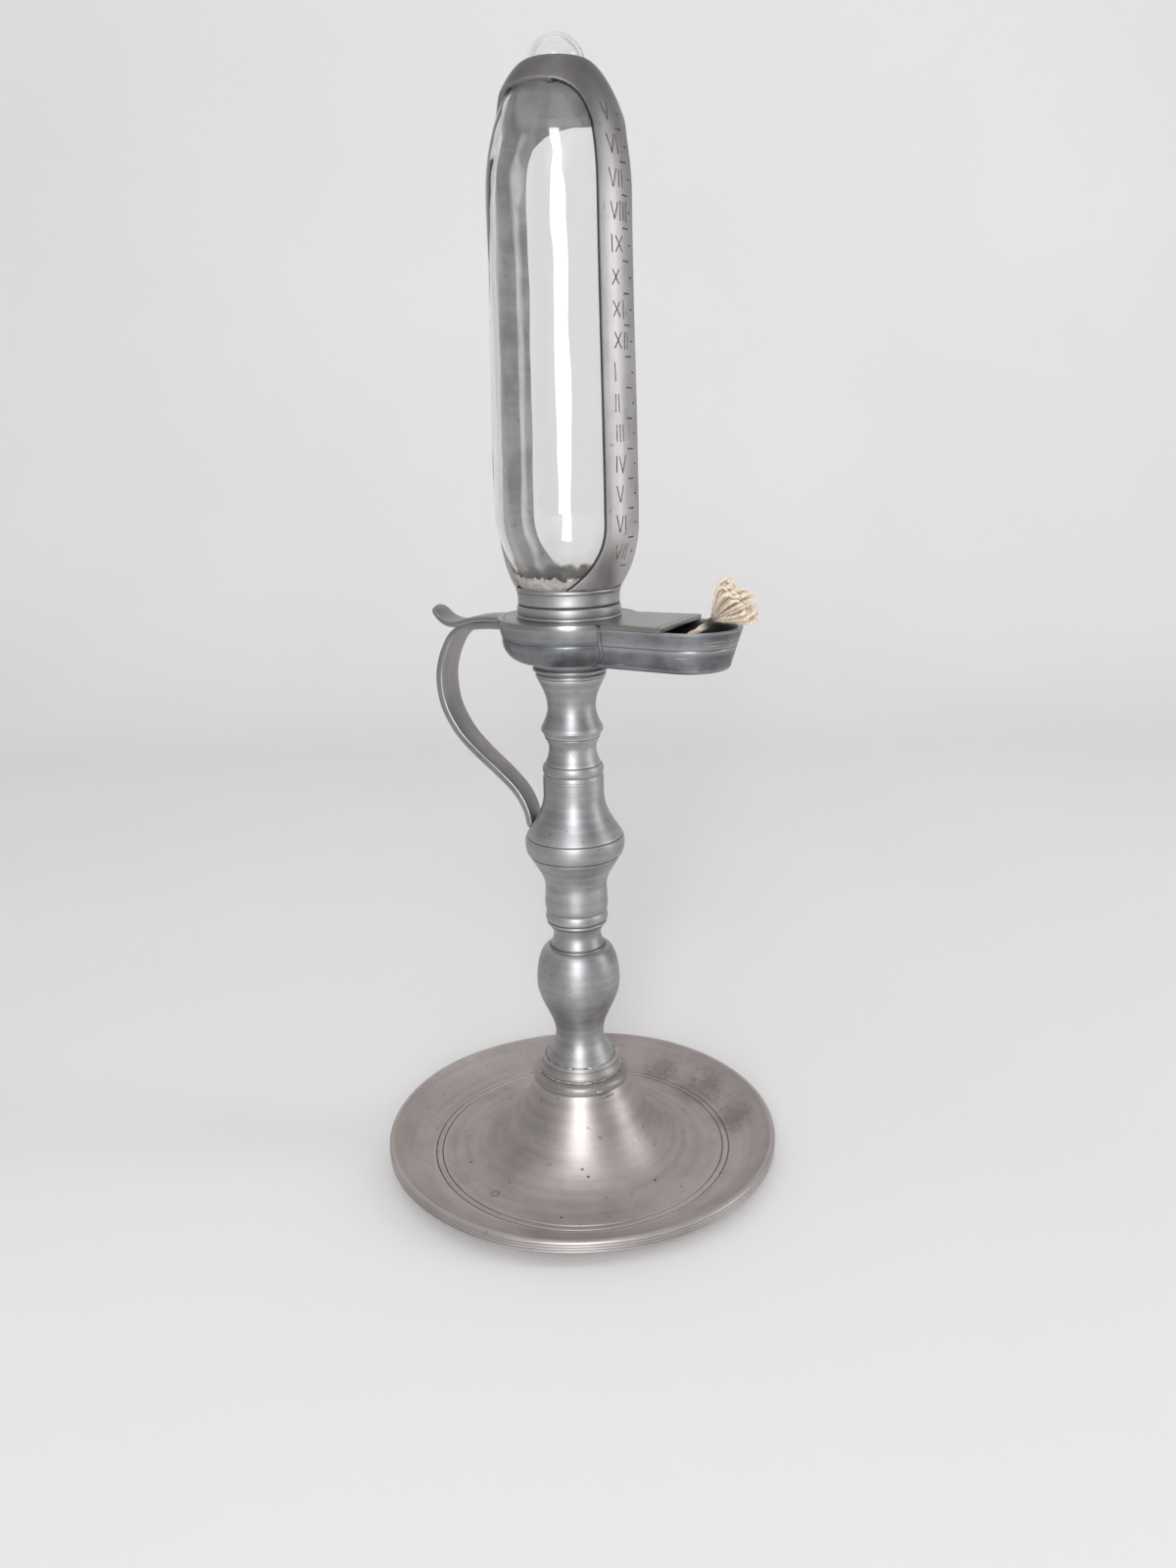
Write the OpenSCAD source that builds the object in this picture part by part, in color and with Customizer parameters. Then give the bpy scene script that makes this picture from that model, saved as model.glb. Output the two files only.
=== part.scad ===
// Oil lamp clock. A wick in the spout burns oil that runs down from the glass reservoir, and the falling
// level is read against the hours cut into one strap of the reservoir's mount.
// Frame: origin on the stem's axis where the pan stands, +Z up, spout along +X, handle along -X.

/* [Drip pan] */
// Diameter over the pan's edge
pan_d = 131; // [122:1:145]
// Height of the edge above the table
pan_h = 8.5; // [6.5:0.5:12]
// Wall of the pan and its dome
pan_t = 1.6; // [1.2:0.1:2.2]
// Height of the grooved band below the edge
band_h = 3.6; // [2.4:0.1:5]
// Diameter of the inner engraved circle
circle_d = 96; // [88:1:104]
// Distance between the two engraved circles
circle_gap = 2.1; // [1.2:0.1:4]
// Height of the dome's flat top
dome_h = 27; // [22:0.5:34]
// Diameter of the dome's flat top
dome_d = 30.6; // [28:0.2:32]

/* [Stem joints] */
// Diameter of the tenon on top of each section
tenon_d = 11; // [10:0.2:11.6]
// Length of the tenons
tenon_l = 3; // [2:0.1:4]
// Bore through the stem
bore_d = 7.6; // [6:0.2:8.4]
// Wall of the hollow sections
stem_t = 2.4; // [1.8:0.1:3.2]
// Room left for solder between soldered pieces
solder_gap = 0.05; // [0.02:0.01:0.1]

/* [Foot ring] */
// Height of the foot ring
foot_h = 8.2; // [7:0.2:11]
// Diameter of its flange
foot_d = 32.2; // [30:0.2:36]
// Height of the flange's upright band
flange_h = 2.6; // [1.6:0.1:3.4]
// Diameter of the step above the flange
step_d = 27.6; // [26:0.2:29]

/* [Baluster] */
// Height of the baluster with its bulb
baluster_h = 39.4; // [34:0.2:46]
// Diameter at its lower end
baluster_foot_d = 23; // [20:0.2:25]
// Diameter of its waist
waist_d = 16; // [15:0.2:18]
// Height of the waist above the lower end
waist_h = 8.4; // [6.5:0.2:11]
// Diameter of the bulb
bulb_d = 27.3; // [24:0.1:31]
// Height of the bulb's widest part above the lower end
bulb_h = 27.4; // [24:0.2:30]

/* [Neck, cup and bell] */
// Height of the neck with its bead
neck_h = 12.8; // [11:0.2:15]
// Diameter of the neck's lower end
neck_foot_d = 18; // [17.2:0.2:19]
// Diameter of the neck's waist
neck_d = 15.4; // [15:0.1:16.4]
// Diameter of the bead
bead_d = 20.2; // [19:0.1:22]
// Height of the cup
cup_h = 25.4; // [22:0.2:29]
// Diameter of the cup's lower part
cup_d = 20.4; // [19:0.1:22]
// Diameter of the knob where cup and bell meet
knob_d = 31.8; // [28:0.1:36]
// Height of the bell
bell_h = 20.6; // [18:0.2:24]
// Diameter of the bell's upper part
bell_d = 19.2; // [18:0.1:20.4]

/* [Spools] */
// Height of the lower spool
lower_spool_h = 14.4; // [12:0.2:17]
// Diameter of the ring below the lower spool
lower_ring_d = 19.3; // [18.4:0.1:21]
// Diameter of both spools' waists
spool_d = 15; // [14.8:0.1:16.4]
// Height of the upper spool
upper_spool_h = 16.6; // [14:0.2:19]
// Diameter of the sharp ring between the spools
ring_d = 19.5; // [18.4:0.1:21]
// Diameter of the upper spool's top
spool_top_d = 21.2; // [20:0.1:22.4]
// Height of the stepped seat under the bowl
seat_h = 4.8; // [4:0.1:6]
// Diameter of the seat's top step
seat_d = 25.6; // [24.6:0.1:27]

/* [Lamp bowl and spout] */
// Diameter of the bowl's rim
bowl_d = 43.8; // [41:0.2:47]
// Height of the bowl
bowl_h = 12.4; // [11.6:0.2:15]
// Diameter of the bowl's flat bottom
bowl_foot_d = 26.6; // [25.8:0.2:29]
// Wall of bowl and spout
bowl_t = 1.6; // [1.2:0.1:2]
// Height of the engraved line above the bowl's bottom
line_h = 7.4; // [6.8:0.1:9]
// Distance from the axis to the centre of the spout's round end
spout_reach = 39.6; // [36:0.2:46]
// Width of the spout's round end
spout_d = 31; // [28:0.2:34]
// Width of the spout where it meets the bowl
spout_root_w = 27.6; // [24:0.2:30]
// How far the spout's walls lean in from top to bottom
spout_lean = 3.4; // [2:0.1:4.4]
// Thickness of the cover plate
cover_t = 1.3; // [1:0.1:2]
// Distance from the axis to the cover's straight end
cover_reach = 37; // [34:0.2:42]
// Depth of the engraved lines
cut_depth = 0.3; // [0.2:0.05:0.4]
// Width of the engraved lines
cut_w = 0.4; // [0.3:0.05:0.6]

/* [Handle] */
// Width of the handle's strap at the bowl
handle_w = 10; // [8:0.2:12]
// Width of the strap at the bell
handle_tail_w = 6.4; // [5:0.2:8]
// Thickness of the strap
handle_t = 2.1; // [1.6:0.1:2.8]
// How far the handle stands out from the axis
handle_reach = 46.6; // [42:0.2:54]
// How far the thumb rest stands out from the axis
thumb_reach = 48; // [46.4:0.2:54]
// Thickness of the thumb rest
thumb_t = 1.8; // [1.4:0.1:2.4]

/* [Screw joint] */
// Height of the socket ring above the cover
socket_h = 3.7; // [3:0.1:5]
// Diameter of the socket ring
socket_d = 31.6; // [30.6:0.1:33]
// Outside diameter of the nozzle's thread
thread_d = 24.4; // [23:0.2:25]
// Pitch of the thread
thread_pitch = 2.5; // [2.2:0.1:3]
// Depth of the thread
thread_depth = 0.9; // [0.7:0.05:1]
// Clearance between the two threads
thread_gap = 0.3; // [0.2:0.05:0.35]
// Length of the nozzle below its collar
nozzle_l = 10.6; // [9:0.2:12]
// Bore of the nozzle
nozzle_bore_d = 17.6; // [15:0.2:19]
// Thickness of the leather washer
washer_t = 0.5; // [0.3:0.1:0.8]

/* [Reservoir] */
// Height of the neck collar
collar_h = 4.8; // [4:0.1:6]
// Diameter of the neck collar
collar_d = 31.4; // [30.6:0.1:33]
// Height of the reservoir above its collar
reservoir_h = 148; // [130:1:165]
// Largest diameter of the glass
glass_d = 43; // [40:0.2:46]
// Diameter of the glass below its upper shoulder
glass_top_d = 40.8; // [38:0.2:43]
// Diameter of the glass at the collar
glass_foot_d = 26.8; // [26:0.2:27.6]
// Wall of the glass
glass_t = 1.4; // [1:0.1:2]
// Height of the lower shoulder
lower_shoulder_h = 19; // [16:0.5:26]
// Height of the upper shoulder
upper_shoulder_h = 33; // [28:0.5:40]
// Diameter of the glass tip
tip_d = 16.4; // [13:0.1:18]
// Height of the glass tip above the shoulder
tip_h = 8.8; // [7:0.1:10.5]
// Height of the cement above the collar
cement_h = 4.6; // [2:0.1:7]

/* [Mount and hours] */
// Thickness of the straps
strap_t = 1.25; // [1:0.05:1.8]
// Angle that a strap covers
strap_angle = 38; // [30:1:46]
// Direction of the hour strap, turned from the spout
strap_turn = -14; // [-40:1:40]
// Room between glass and mount
glass_gap = 0.15; // [0.1:0.05:0.3]
// Height of the joint between straps and cap, below the reservoir's top
cap_h = 25; // [20:0.5:30]
// Height of one hour on the scale
hour_h = 8.2; // [7:0.1:8.6]
// Height of a numeral
numeral_h = 4.8; // [3.6:0.1:5.4]

/* [Hidden] */
$fn = 96;

// Colours
pewter = [0.60, 0.59, 0.58];
dark_pewter = [0.50, 0.50, 0.51];
cotton = [0.82, 0.74, 0.63];
leather = [0.20, 0.14, 0.10];
clear_glass = [0.86, 0.90, 0.92, 0.35];
putty = [0.50, 0.43, 0.36];

// Heights of the joints, from the table up
foot_z = dome_h;
baluster_z = foot_z + foot_h;
neck_z = baluster_z + baluster_h;
cup_z = neck_z + neck_h;
bell_z = cup_z + cup_h;
lower_spool_z = bell_z + bell_h;
upper_spool_z = lower_spool_z + lower_spool_h;
seat_z = upper_spool_z + upper_spool_h;
bowl_z = seat_z + seat_h;
rim_z = bowl_z + bowl_h;
cover_z = rim_z + cover_t;
socket_z = cover_z + socket_h;
collar_z = socket_z + washer_t;
mount_z = collar_z + collar_h;
top_z = mount_z + reservoir_h;
shoulder_z = top_z - tip_h;
cap_z = top_z - cap_h;

// Radii that several pieces share
bore_r = bore_d / 2;
tenon_r = tenon_d / 2;
tenon_hole_r = tenon_r + solder_gap;
tenon_hole_l = tenon_l + 0.2;
thread_r = thread_d / 2;
core_r = thread_r - thread_depth;
socket_bore_r = thread_r + thread_gap;
socket_wall = 1.4;
socket_skirt_r = socket_bore_r + socket_wall;
cover_hole_r = socket_skirt_r + solder_gap;
nozzle_z = collar_z - nozzle_l;
tip_r = tip_d / 2;
// How far a joint's edge stands out from the next section
joint_lip = 0.6;

// Curves. A point is [radius, height]. Each curve runs from a to b and leaves out b itself.
function s_curve(a, b, n = 8) = [for (i = [0 : n - 1]) let (t = i / n)
    [a[0] + (b[0] - a[0]) * (1 - cos(180 * t)) / 2, a[1] + (b[1] - a[1]) * t]];
// Leaves a upright and arrives at b level
function dome_curve(a, b, n = 7, fullness = 1) = [for (i = [0 : n - 1]) let (t = 90 * i / n)
    [b[0] + (a[0] - b[0]) * pow(cos(t), fullness), a[1] + (b[1] - a[1]) * sin(t)]];
// Leaves a level and arrives at b upright
function cup_curve(a, b, n = 7) = [for (i = [0 : n - 1]) let (t = 90 * i / n)
    [a[0] + (b[0] - a[0]) * sin(t), a[1] + (b[1] - a[1]) * (1 - cos(t))]];
// Leaves a slanting and arrives at b upright
function swell(a, b, n = 8) = [for (i = [0 : n - 1]) let (t = i / n)
    [a[0] + (b[0] - a[0]) * sin(90 * t), a[1] + (b[1] - a[1]) * t]];
// Leaves a upright and arrives at b slanting
function flare(a, b, n = 8) = [for (i = [0 : n - 1]) let (t = i / n)
    [a[0] + (b[0] - a[0]) * (1 - cos(90 * t)), a[1] + (b[1] - a[1]) * t]];
// A smooth curve through every point of a list
function through(p, n = 5) = concat([for (i = [0 : len(p) - 2]) let (a = p[max(i - 1, 0)], b = p[i],
    c = p[i + 1], d = p[min(i + 2, len(p) - 1)]) for (k = [0 : n - 1]) let (t = k / n)
    ((2 * b) + (c - a) * t + (2 * a - 5 * b + 4 * c - d) * t * t
    + (3 * b - a - 3 * c + d) * t * t * t) / 2], [p[len(p) - 1]]);
function reversed(p) = [for (i = [len(p) - 1 : -1 : 0]) p[i]];
function unit(v) = v / norm(v);
// The same curve moved sideways, to the right of the way it runs
function shifted(p, d) = [for (i = [0 : len(p) - 1])
    let (t = unit(p[min(i + 1, len(p) - 1)] - p[max(i - 1, 0)])) p[i] + d * [t[1], -t[0]]];
function raised(p, z) = [for (q = p) [q[0], q[1] + z]];

// A hollow turned section with a socket below and a tenon above. The outline runs from bottom to top.
module turned(outline, tenon = tenon_l) {
    z0 = outline[0][1];
    z1 = outline[len(outline) - 1][1];
    floor_z = z0 + tenon_hole_l + stem_t / 2;
    roof_z = z1 - stem_t;
    hollow = [for (p = reversed(outline)) if (p[1] > floor_z && p[1] < roof_z)
        [max(bore_r, p[0] - stem_t), p[1]]];
    rotate_extrude() polygon(concat(outline, [[tenon_r, z1], [tenon_r, z1 + tenon],
        [bore_r, z1 + tenon], [bore_r, roof_z]], hollow, [[bore_r, floor_z],
        [bore_r, z0 + tenon_hole_l], [tenon_hole_r, z0 + tenon_hole_l], [tenon_hole_r, z0]]));
}

// A ring with a square section, for engraved circles
module ring(r_in, r_out, z_low, z_high) {
    rotate_extrude() translate([r_in, z_low]) square([r_out - r_in, z_high - z_low]);
}

// Drip pan
circle_r = circle_d / 2;
outer_circle_r = circle_r + circle_gap;
dome_r = dome_d / 2;
pan_r = pan_d / 2;
edge_w = 1.4;
flare_r = circle_r - 2;
rise_r = outer_circle_r + 1;
band_groove = 0.35;
function pan_flare() = [for (i = [0 : 14]) let (t = i / 14)
    [dome_r + (flare_r - dome_r) * t, pan_t + (dome_h - pan_t) * pow(1 - t, 2.6)]];
function pan_rise() = [for (i = [0 : 8]) let (t = i / 8)
    [rise_r + (pan_r - edge_w - rise_r) * t, pan_t + (pan_h - pan_t) * pow(t, 1.6)]];
// The underside follows the top, and what comes near the table lies flat on it
flat_below = 0.2;
function pan_underside() = [for (p = shifted(concat(pan_flare(), pan_rise()), pan_t))
    if (p[1] < dome_h - 2 * pan_t && p[0] < pan_r - 3 * edge_w) [p[0], p[1] < flat_below ? 0 : p[1]]];
module pan_body() {
    rotate_extrude() polygon(concat([[bore_r, dome_h + tenon_l], [tenon_r, dome_h + tenon_l],
        [tenon_r, dome_h]], pan_flare(), pan_rise(),
        [[pan_r - edge_w / 3, pan_h], [pan_r, pan_h - edge_w / 2],
        [pan_r, pan_h - band_h], [pan_r - edge_w, pan_h - band_h - edge_w / 2]], reversed(pan_underside()),
        [[dome_r - 2 * pan_t, dome_h - pan_t], [bore_r, dome_h - pan_t]]));
}
module drip_pan() color(pewter) difference() {
    pan_body();
    for (r = [circle_r, outer_circle_r]) ring(r - cut_w / 2, r + cut_w / 2, pan_t - cut_depth, pan_t + 1);
    for (i = [1 : 3]) ring(pan_r - band_groove, pan_r + 1, pan_h - band_h * (i + 0.5) / 4,
        pan_h - band_h * (i + 0.5) / 4 + cut_w);
}

// Stem
flange_round = 0.6;
foot_lip = 1;
module foot_ring() color(pewter) turned(raised(concat(
    [[dome_r - flange_round, 0], [foot_d / 2 - flange_round / 3, flange_round / 2],
    [foot_d / 2, 1.5 * flange_round], [foot_d / 2, flange_h],
    [foot_d / 2 - flange_round, flange_h + flange_round],
    [step_d / 2 + flange_round / 2, flange_h + 2.5 * flange_round],
    [step_d / 2, flange_h + 2.4 * flange_round]],
    s_curve([step_d / 2, flange_h + 3 * flange_round], [baluster_foot_d / 2 + foot_lip, foot_h], 5),
    [[baluster_foot_d / 2 + foot_lip, foot_h]]), foot_z));

module stem_baluster() color(pewter) turned(raised(concat(
    swell([baluster_foot_d / 2, 0], [waist_d / 2, waist_h], 7),
    s_curve([waist_d / 2, waist_h], [bulb_d / 2, bulb_h], 12),
    dome_curve([bulb_d / 2, bulb_h], [neck_foot_d / 2 + joint_lip, baluster_h]),
    [[neck_foot_d / 2 + joint_lip, baluster_h]]), baluster_z));

bead_h = 4.2;
bead_lip = 0.6;
module stem_neck() color(pewter) turned(raised(concat(
    swell([neck_foot_d / 2, 0], [neck_d / 2, (neck_h - bead_h) / 2], 6),
    flare([neck_d / 2, (neck_h - bead_h) / 2], [bead_d / 2 - bead_lip, neck_h - bead_h], 6),
    cup_curve([bead_d / 2 - bead_lip, neck_h - bead_h], [bead_d / 2, neck_h - bead_h / 2], 4),
    dome_curve([bead_d / 2, neck_h - bead_h / 2], [bead_d / 2 - bead_lip, neck_h], 4),
    [[bead_d / 2 - bead_lip, neck_h]]), neck_z));

knob_lip = 0.5;
knob_h = 2.4;
module stem_cup() color(pewter) turned(raised(concat(
    cup_curve([cup_d / 2 - bead_lip, 0], [cup_d / 2, 1.4], 3),
    [[cup_d / 2, 1.4]],
    s_curve([cup_d / 2, cup_h / 3], [knob_d / 2, cup_h - knob_h], 12),
    dome_curve([knob_d / 2, cup_h - knob_h], [knob_d / 2 - knob_lip, cup_h], 4),
    [[knob_d / 2 - knob_lip, cup_h]]), cup_z));

bell_swell_h = 14;
function bell_outline() = raised(concat(
    [[knob_d / 2 - knob_lip, 0]],
    swell([knob_d / 2 - knob_lip, knob_lip], [bell_d / 2, bell_swell_h], 9),
    [[bell_d / 2, bell_swell_h]],
    dome_curve([bell_d / 2, bell_h - 1.2], [bell_d / 2 - bead_lip, bell_h], 3),
    [[bell_d / 2 - bead_lip, bell_h]]), bell_z);
module stem_bell() color(pewter) turned(bell_outline());

ring_h = 2.4;
module lower_spool() color(pewter) turned(raised(concat(
    cup_curve([lower_ring_d / 2 - bead_lip, 0], [lower_ring_d / 2, ring_h], 4),
    s_curve([lower_ring_d / 2, ring_h], [spool_d / 2, lower_spool_h * 0.58], 7),
    flare([spool_d / 2, lower_spool_h * 0.58], [ring_d / 2, lower_spool_h - 0.5], 7),
    [[ring_d / 2, lower_spool_h - 0.5], [ring_d / 2, lower_spool_h]]), lower_spool_z));

module upper_spool() color(pewter) turned(raised(concat(
    [[ring_d / 2, 0]],
    swell([ring_d / 2, 0.5], [spool_d / 2, upper_spool_h * 0.42], 7),
    flare([spool_d / 2, upper_spool_h * 0.42], [spool_top_d / 2, upper_spool_h], 8),
    [[spool_top_d / 2, upper_spool_h]]), upper_spool_z), seat_h - solder_gap);

// Stepped rings between the stem and the bowl
seat_step = (seat_d - spool_top_d) / 4;
module bowl_seat() color(pewter) rotate_extrude() polygon(raised([[tenon_hole_r, 0],
    [spool_top_d / 2, 0], [spool_top_d / 2 + seat_step / 3, seat_h * 0.06],
    [spool_top_d / 2 + seat_step / 3, seat_h * 0.18], [spool_top_d / 2, seat_h * 0.26],
    [spool_top_d / 2 + seat_step / 2, seat_h * 0.36], [spool_top_d / 2 + seat_step, seat_h * 0.42],
    [spool_top_d / 2 + seat_step, seat_h * 0.54], [spool_top_d / 2 + seat_step * 0.7, seat_h * 0.62],
    [seat_d / 2 - seat_step * 0.7, seat_h * 0.78], [seat_d / 2, seat_h * 0.92], [seat_d / 2, seat_h],
    [tenon_hole_r, seat_h]], seat_z));

// Lamp bowl
bowl_r = bowl_d / 2;
bowl_lean = 1.2;
peg_l = 5;
function bowl_outline() = raised(concat(
    cup_curve([bowl_foot_d / 2, 0], [bowl_r - bowl_lean, line_h], 9),
    [[bowl_r - bowl_lean, line_h], [bowl_r, bowl_h]]), bowl_z);
// The bowl's outside as a full solid, grown by the room for solder and carried up past the cover
module bowl_outside() {
    rotate_extrude() polygon(concat([[0, bowl_z - solder_gap]], [[bowl_foot_d / 2, bowl_z - solder_gap]],
        [for (p = bowl_outline()) p + [solder_gap, 0]],
        [[bowl_r + solder_gap, cover_z + socket_h], [0, cover_z + socket_h]]));
}
module lamp_bowl() color(dark_pewter) difference() {
    rotate_extrude() polygon(concat([[0, bowl_z - peg_l], [bore_r - solder_gap, bowl_z - peg_l],
        [bore_r - solder_gap, bowl_z]], bowl_outline(), [[bowl_r - bowl_t, rim_z]],
        [for (p = reversed(shifted(bowl_outline(), -bowl_t))) if (p[1] > bowl_z + bowl_t && p[1] < rim_z)
        p], [[0, bowl_z + bowl_t]]));
    trough(bowl_t, bowl_t);
    ring(bowl_r - bowl_lean - cut_depth, bowl_r + 1, bowl_z + line_h - cut_w, bowl_z + line_h);
}

// Spout
spout_r = spout_d / 2;
spout_round = 1.6;
slice_t = 0.01;
module paddle(inset) {
    translate([spout_reach, 0]) circle(spout_r - inset, $fn = 48);
    polygon([[bowl_r / 2, inset - spout_root_w / 2], [spout_reach, inset - spout_r],
        [spout_reach, spout_r - inset], [bowl_r / 2, spout_root_w / 2 - inset]]);
}
module slice(inset, z) {
    translate([0, 0, z - slice_t]) linear_extrude(slice_t) paddle(inset);
}
// The paddle-shaped body, drawn in by a wall and lifted by a floor
module trough(wall, lift) {
    hull() {
        slice(wall + spout_lean + spout_round, bowl_z + lift + slice_t);
        slice(wall + spout_lean, bowl_z + lift + spout_round);
        slice(wall, lift > 0 ? rim_z + slice_t : rim_z);
    }
}
function lean_at(z) = spout_lean * (rim_z - z) / (bowl_h - spout_round);
module spout() color(dark_pewter) difference() {
    trough(0, 0);
    trough(bowl_t, bowl_t);
    bowl_outside();
    translate([0, 0, bowl_z + line_h - cut_w]) linear_extrude(cut_w) difference() {
        paddle(-spout_lean);
        paddle(lean_at(bowl_z + line_h) + cut_depth);
    }
}

// Cover plate with an engraved line inside its border
border = 2;
module cover_shape(inset) {
    circle(bowl_r - inset);
    intersection() {
        paddle(inset);
        translate([0, -spout_d]) square([cover_reach - inset, 2 * spout_d]);
    }
}
module lamp_cover() color(pewter) difference() {
    translate([0, 0, rim_z]) linear_extrude(cover_t) difference() {
        cover_shape(0);
        circle(cover_hole_r);
    }
    translate([0, 0, cover_z - cut_depth]) linear_extrude(cover_t) difference() {
        cover_shape(border);
        cover_shape(border + cut_w);
    }
}

// Handle, drawn from the side as a strap along a curve
thumb_proud = 0.3;
handle_drop = -0.25;
handle_foot_rise = 2;
handle_foot_sink = 1.2;
handle_run = 5;
handle_top_z = rim_z - thumb_t - handle_t / 2 - handle_drop;
handle_foot_z = bell_z + handle_foot_rise;
handle_foot_x = knob_d / 2 - handle_foot_sink;
handle_out_x = handle_reach - handle_t / 2;
// Points of its bend: share of the way out from the foot, and share of the way up from the foot
handle_bend = [[0.626, 0.987], [0.754, 0.966], [0.862, 0.915], [0.963, 0.813], [1, 0.705], [0.956, 0.575],
    [0.807, 0.45], [0.593, 0.35], [0.34, 0.255], [0.146, 0.17], [0.039, 0.085], [0, 0]];
function handle_line() = through(concat(
    [[-bowl_r + bowl_t, handle_top_z], [-bowl_r - handle_run, handle_top_z]],
    [for (p = handle_bend) [-handle_foot_x - (handle_out_x - handle_foot_x) * p[0],
    handle_foot_z + (handle_top_z - handle_foot_z) * p[1]]]), 4);
// How far the thumb rest dips, and how far its end turns up
thumb_dip = 2.3;
thumb_lift = 2.8;
function thumb_line() = let (z = rim_z - thumb_t / 2 + thumb_proud, x = thumb_reach - bowl_r) through([
    [-bowl_r + bowl_t, z], [-bowl_r - 0.22 * x, z], [-bowl_r - 0.44 * x, z - 0.35 * thumb_dip],
    [-bowl_r - 0.68 * x, z - thumb_dip], [-bowl_r - 0.86 * x, z - 0.4 * thumb_dip],
    [-thumb_reach, z + thumb_lift]], 4);
module strap_side(line, t) {
    polygon(concat(shifted(line, t / 2), reversed(shifted(line, -t / 2))));
}
// Stands a side view up in the plane of spout and handle
module upright(w) {
    rotate([90, 0, 0]) linear_extrude(w, center = true) children();
}
module handle() color(pewter) difference() {
    intersection() {
        upright(handle_w) difference() {
            strap_side(handle_line(), handle_t);
            strap_side(thumb_line(), thumb_t + 2 * solder_gap);
        }
        rotate([90, 0, -90]) linear_extrude(2 * handle_reach) polygon([
            [-handle_tail_w / 2, handle_foot_z - handle_t], [handle_tail_w / 2, handle_foot_z - handle_t],
            [handle_w / 2, (handle_foot_z + handle_top_z) / 2], [handle_w / 2, rim_z],
            [-handle_w / 2, rim_z], [-handle_w / 2, (handle_foot_z + handle_top_z) / 2]]);
    }
    bowl_outside();
    rotate_extrude() polygon(concat([[0, bell_z]], [for (p = bell_outline()) p + [solder_gap, 0]],
        [[0, bell_z + bell_h]]));
}
module thumb_rest() color(pewter) difference() {
    intersection() {
        upright(handle_w) strap_side(thumb_line(), thumb_t);
        translate([0, 0, bowl_z]) linear_extrude(2 * bowl_h) union() {
            translate([handle_w / 2 - thumb_reach, 0]) circle(d = handle_w);
            translate([handle_w / 2 - thumb_reach, -handle_w / 2]) square([thumb_reach, handle_w]);
        }
    }
    bowl_outside();
}

// Screw thread: a ridge that climbs round the axis, from a root radius to a tip radius
thread_steps = 24;
thread_slope = 0.25;
ridge_w = thread_pitch / 2 - thread_gap;
module ridge(root_r, tip_r, z_low, z_high) {
    n = floor((z_high - z_low) / thread_pitch * thread_steps);
    points = [for (i = [0 : n]) let (a = 360 * i / thread_steps, z = z_low + thread_pitch * i / thread_steps)
        for (q = [[root_r, -1 - thread_slope], [tip_r, thread_slope - 1], [tip_r, 1 - thread_slope],
        [root_r, 1 + thread_slope]]) [q[0] * cos(a), q[0] * sin(a), z + q[1] * ridge_w / 2]];
    inward = tip_r < root_r;
    sides = [for (i = [0 : n - 1]) for (k = [0 : 3]) let (a = 4 * i + k, b = 4 * i + (k + 1) % 4)
        for (f = [[a, b, b + 4], [a, b + 4, a + 4]]) f];
    ends = [[0, 2, 1], [0, 3, 2], [4 * n, 4 * n + 1, 4 * n + 2], [4 * n, 4 * n + 2, 4 * n + 3]];
    polyhedron(points, [for (f = concat(sides, ends)) inward ? [f[2], f[1], f[0]] : f]);
}
thread_root = 0.3;
male_start = 1.6;
male_end = 1.2;
female_end = 0.8;
male_z = nozzle_z + male_start;
female_z = male_z + thread_pitch / 2;

socket_skirt_l = 6.4;
socket_lip = 0.25;
edge = 0.4;
module socket_ring() color(pewter) union() {
    rotate_extrude() polygon([[socket_bore_r, cover_z - socket_skirt_l],
        [socket_skirt_r, cover_z - socket_skirt_l], [socket_skirt_r, cover_z],
        [socket_d / 2 + socket_lip, cover_z], [socket_d / 2 + socket_lip, cover_z + 2 * edge],
        [socket_d / 2 - socket_lip, cover_z + 3 * edge], [socket_d / 2, cover_z + 4 * edge],
        [socket_d / 2, socket_z - edge], [socket_d / 2 - socket_lip, socket_z], [socket_bore_r, socket_z]]);
    ridge(socket_bore_r + thread_root, core_r + thread_gap, female_z, socket_z - female_end);
}

module seal_washer() color(leather) ring(socket_bore_r, socket_d / 2 - edge, socket_z, collar_z);

// Collar of the mount with its threaded nozzle. The notches at the nozzle's mouth let air in.
collar_floor = 1.4;
recess_wall = 1.1;
recess_r = collar_d / 2 - recess_wall;
notch_r = 1.8;
module neck_collar() color(pewter) difference() {
    union() {
        rotate_extrude() polygon([[nozzle_bore_d / 2, nozzle_z], [core_r - edge, nozzle_z],
            [core_r, nozzle_z + edge], [core_r, collar_z], [collar_d / 2 - socket_lip, collar_z],
            [collar_d / 2, collar_z + edge], [collar_d / 2, mount_z - 3 * edge],
            [collar_d / 2 + socket_lip, mount_z - 2 * edge], [collar_d / 2 + socket_lip, mount_z],
            [recess_r, mount_z], [recess_r, collar_z + collar_floor],
            [nozzle_bore_d / 2, collar_z + collar_floor]]);
        ridge(core_r - thread_root, thread_r, male_z, collar_z - male_end);
    }
    translate([0, 0, nozzle_z]) rotate([90, 0, strap_turn])
        cylinder(r = notch_r, h = collar_d, center = true);
}

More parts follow.
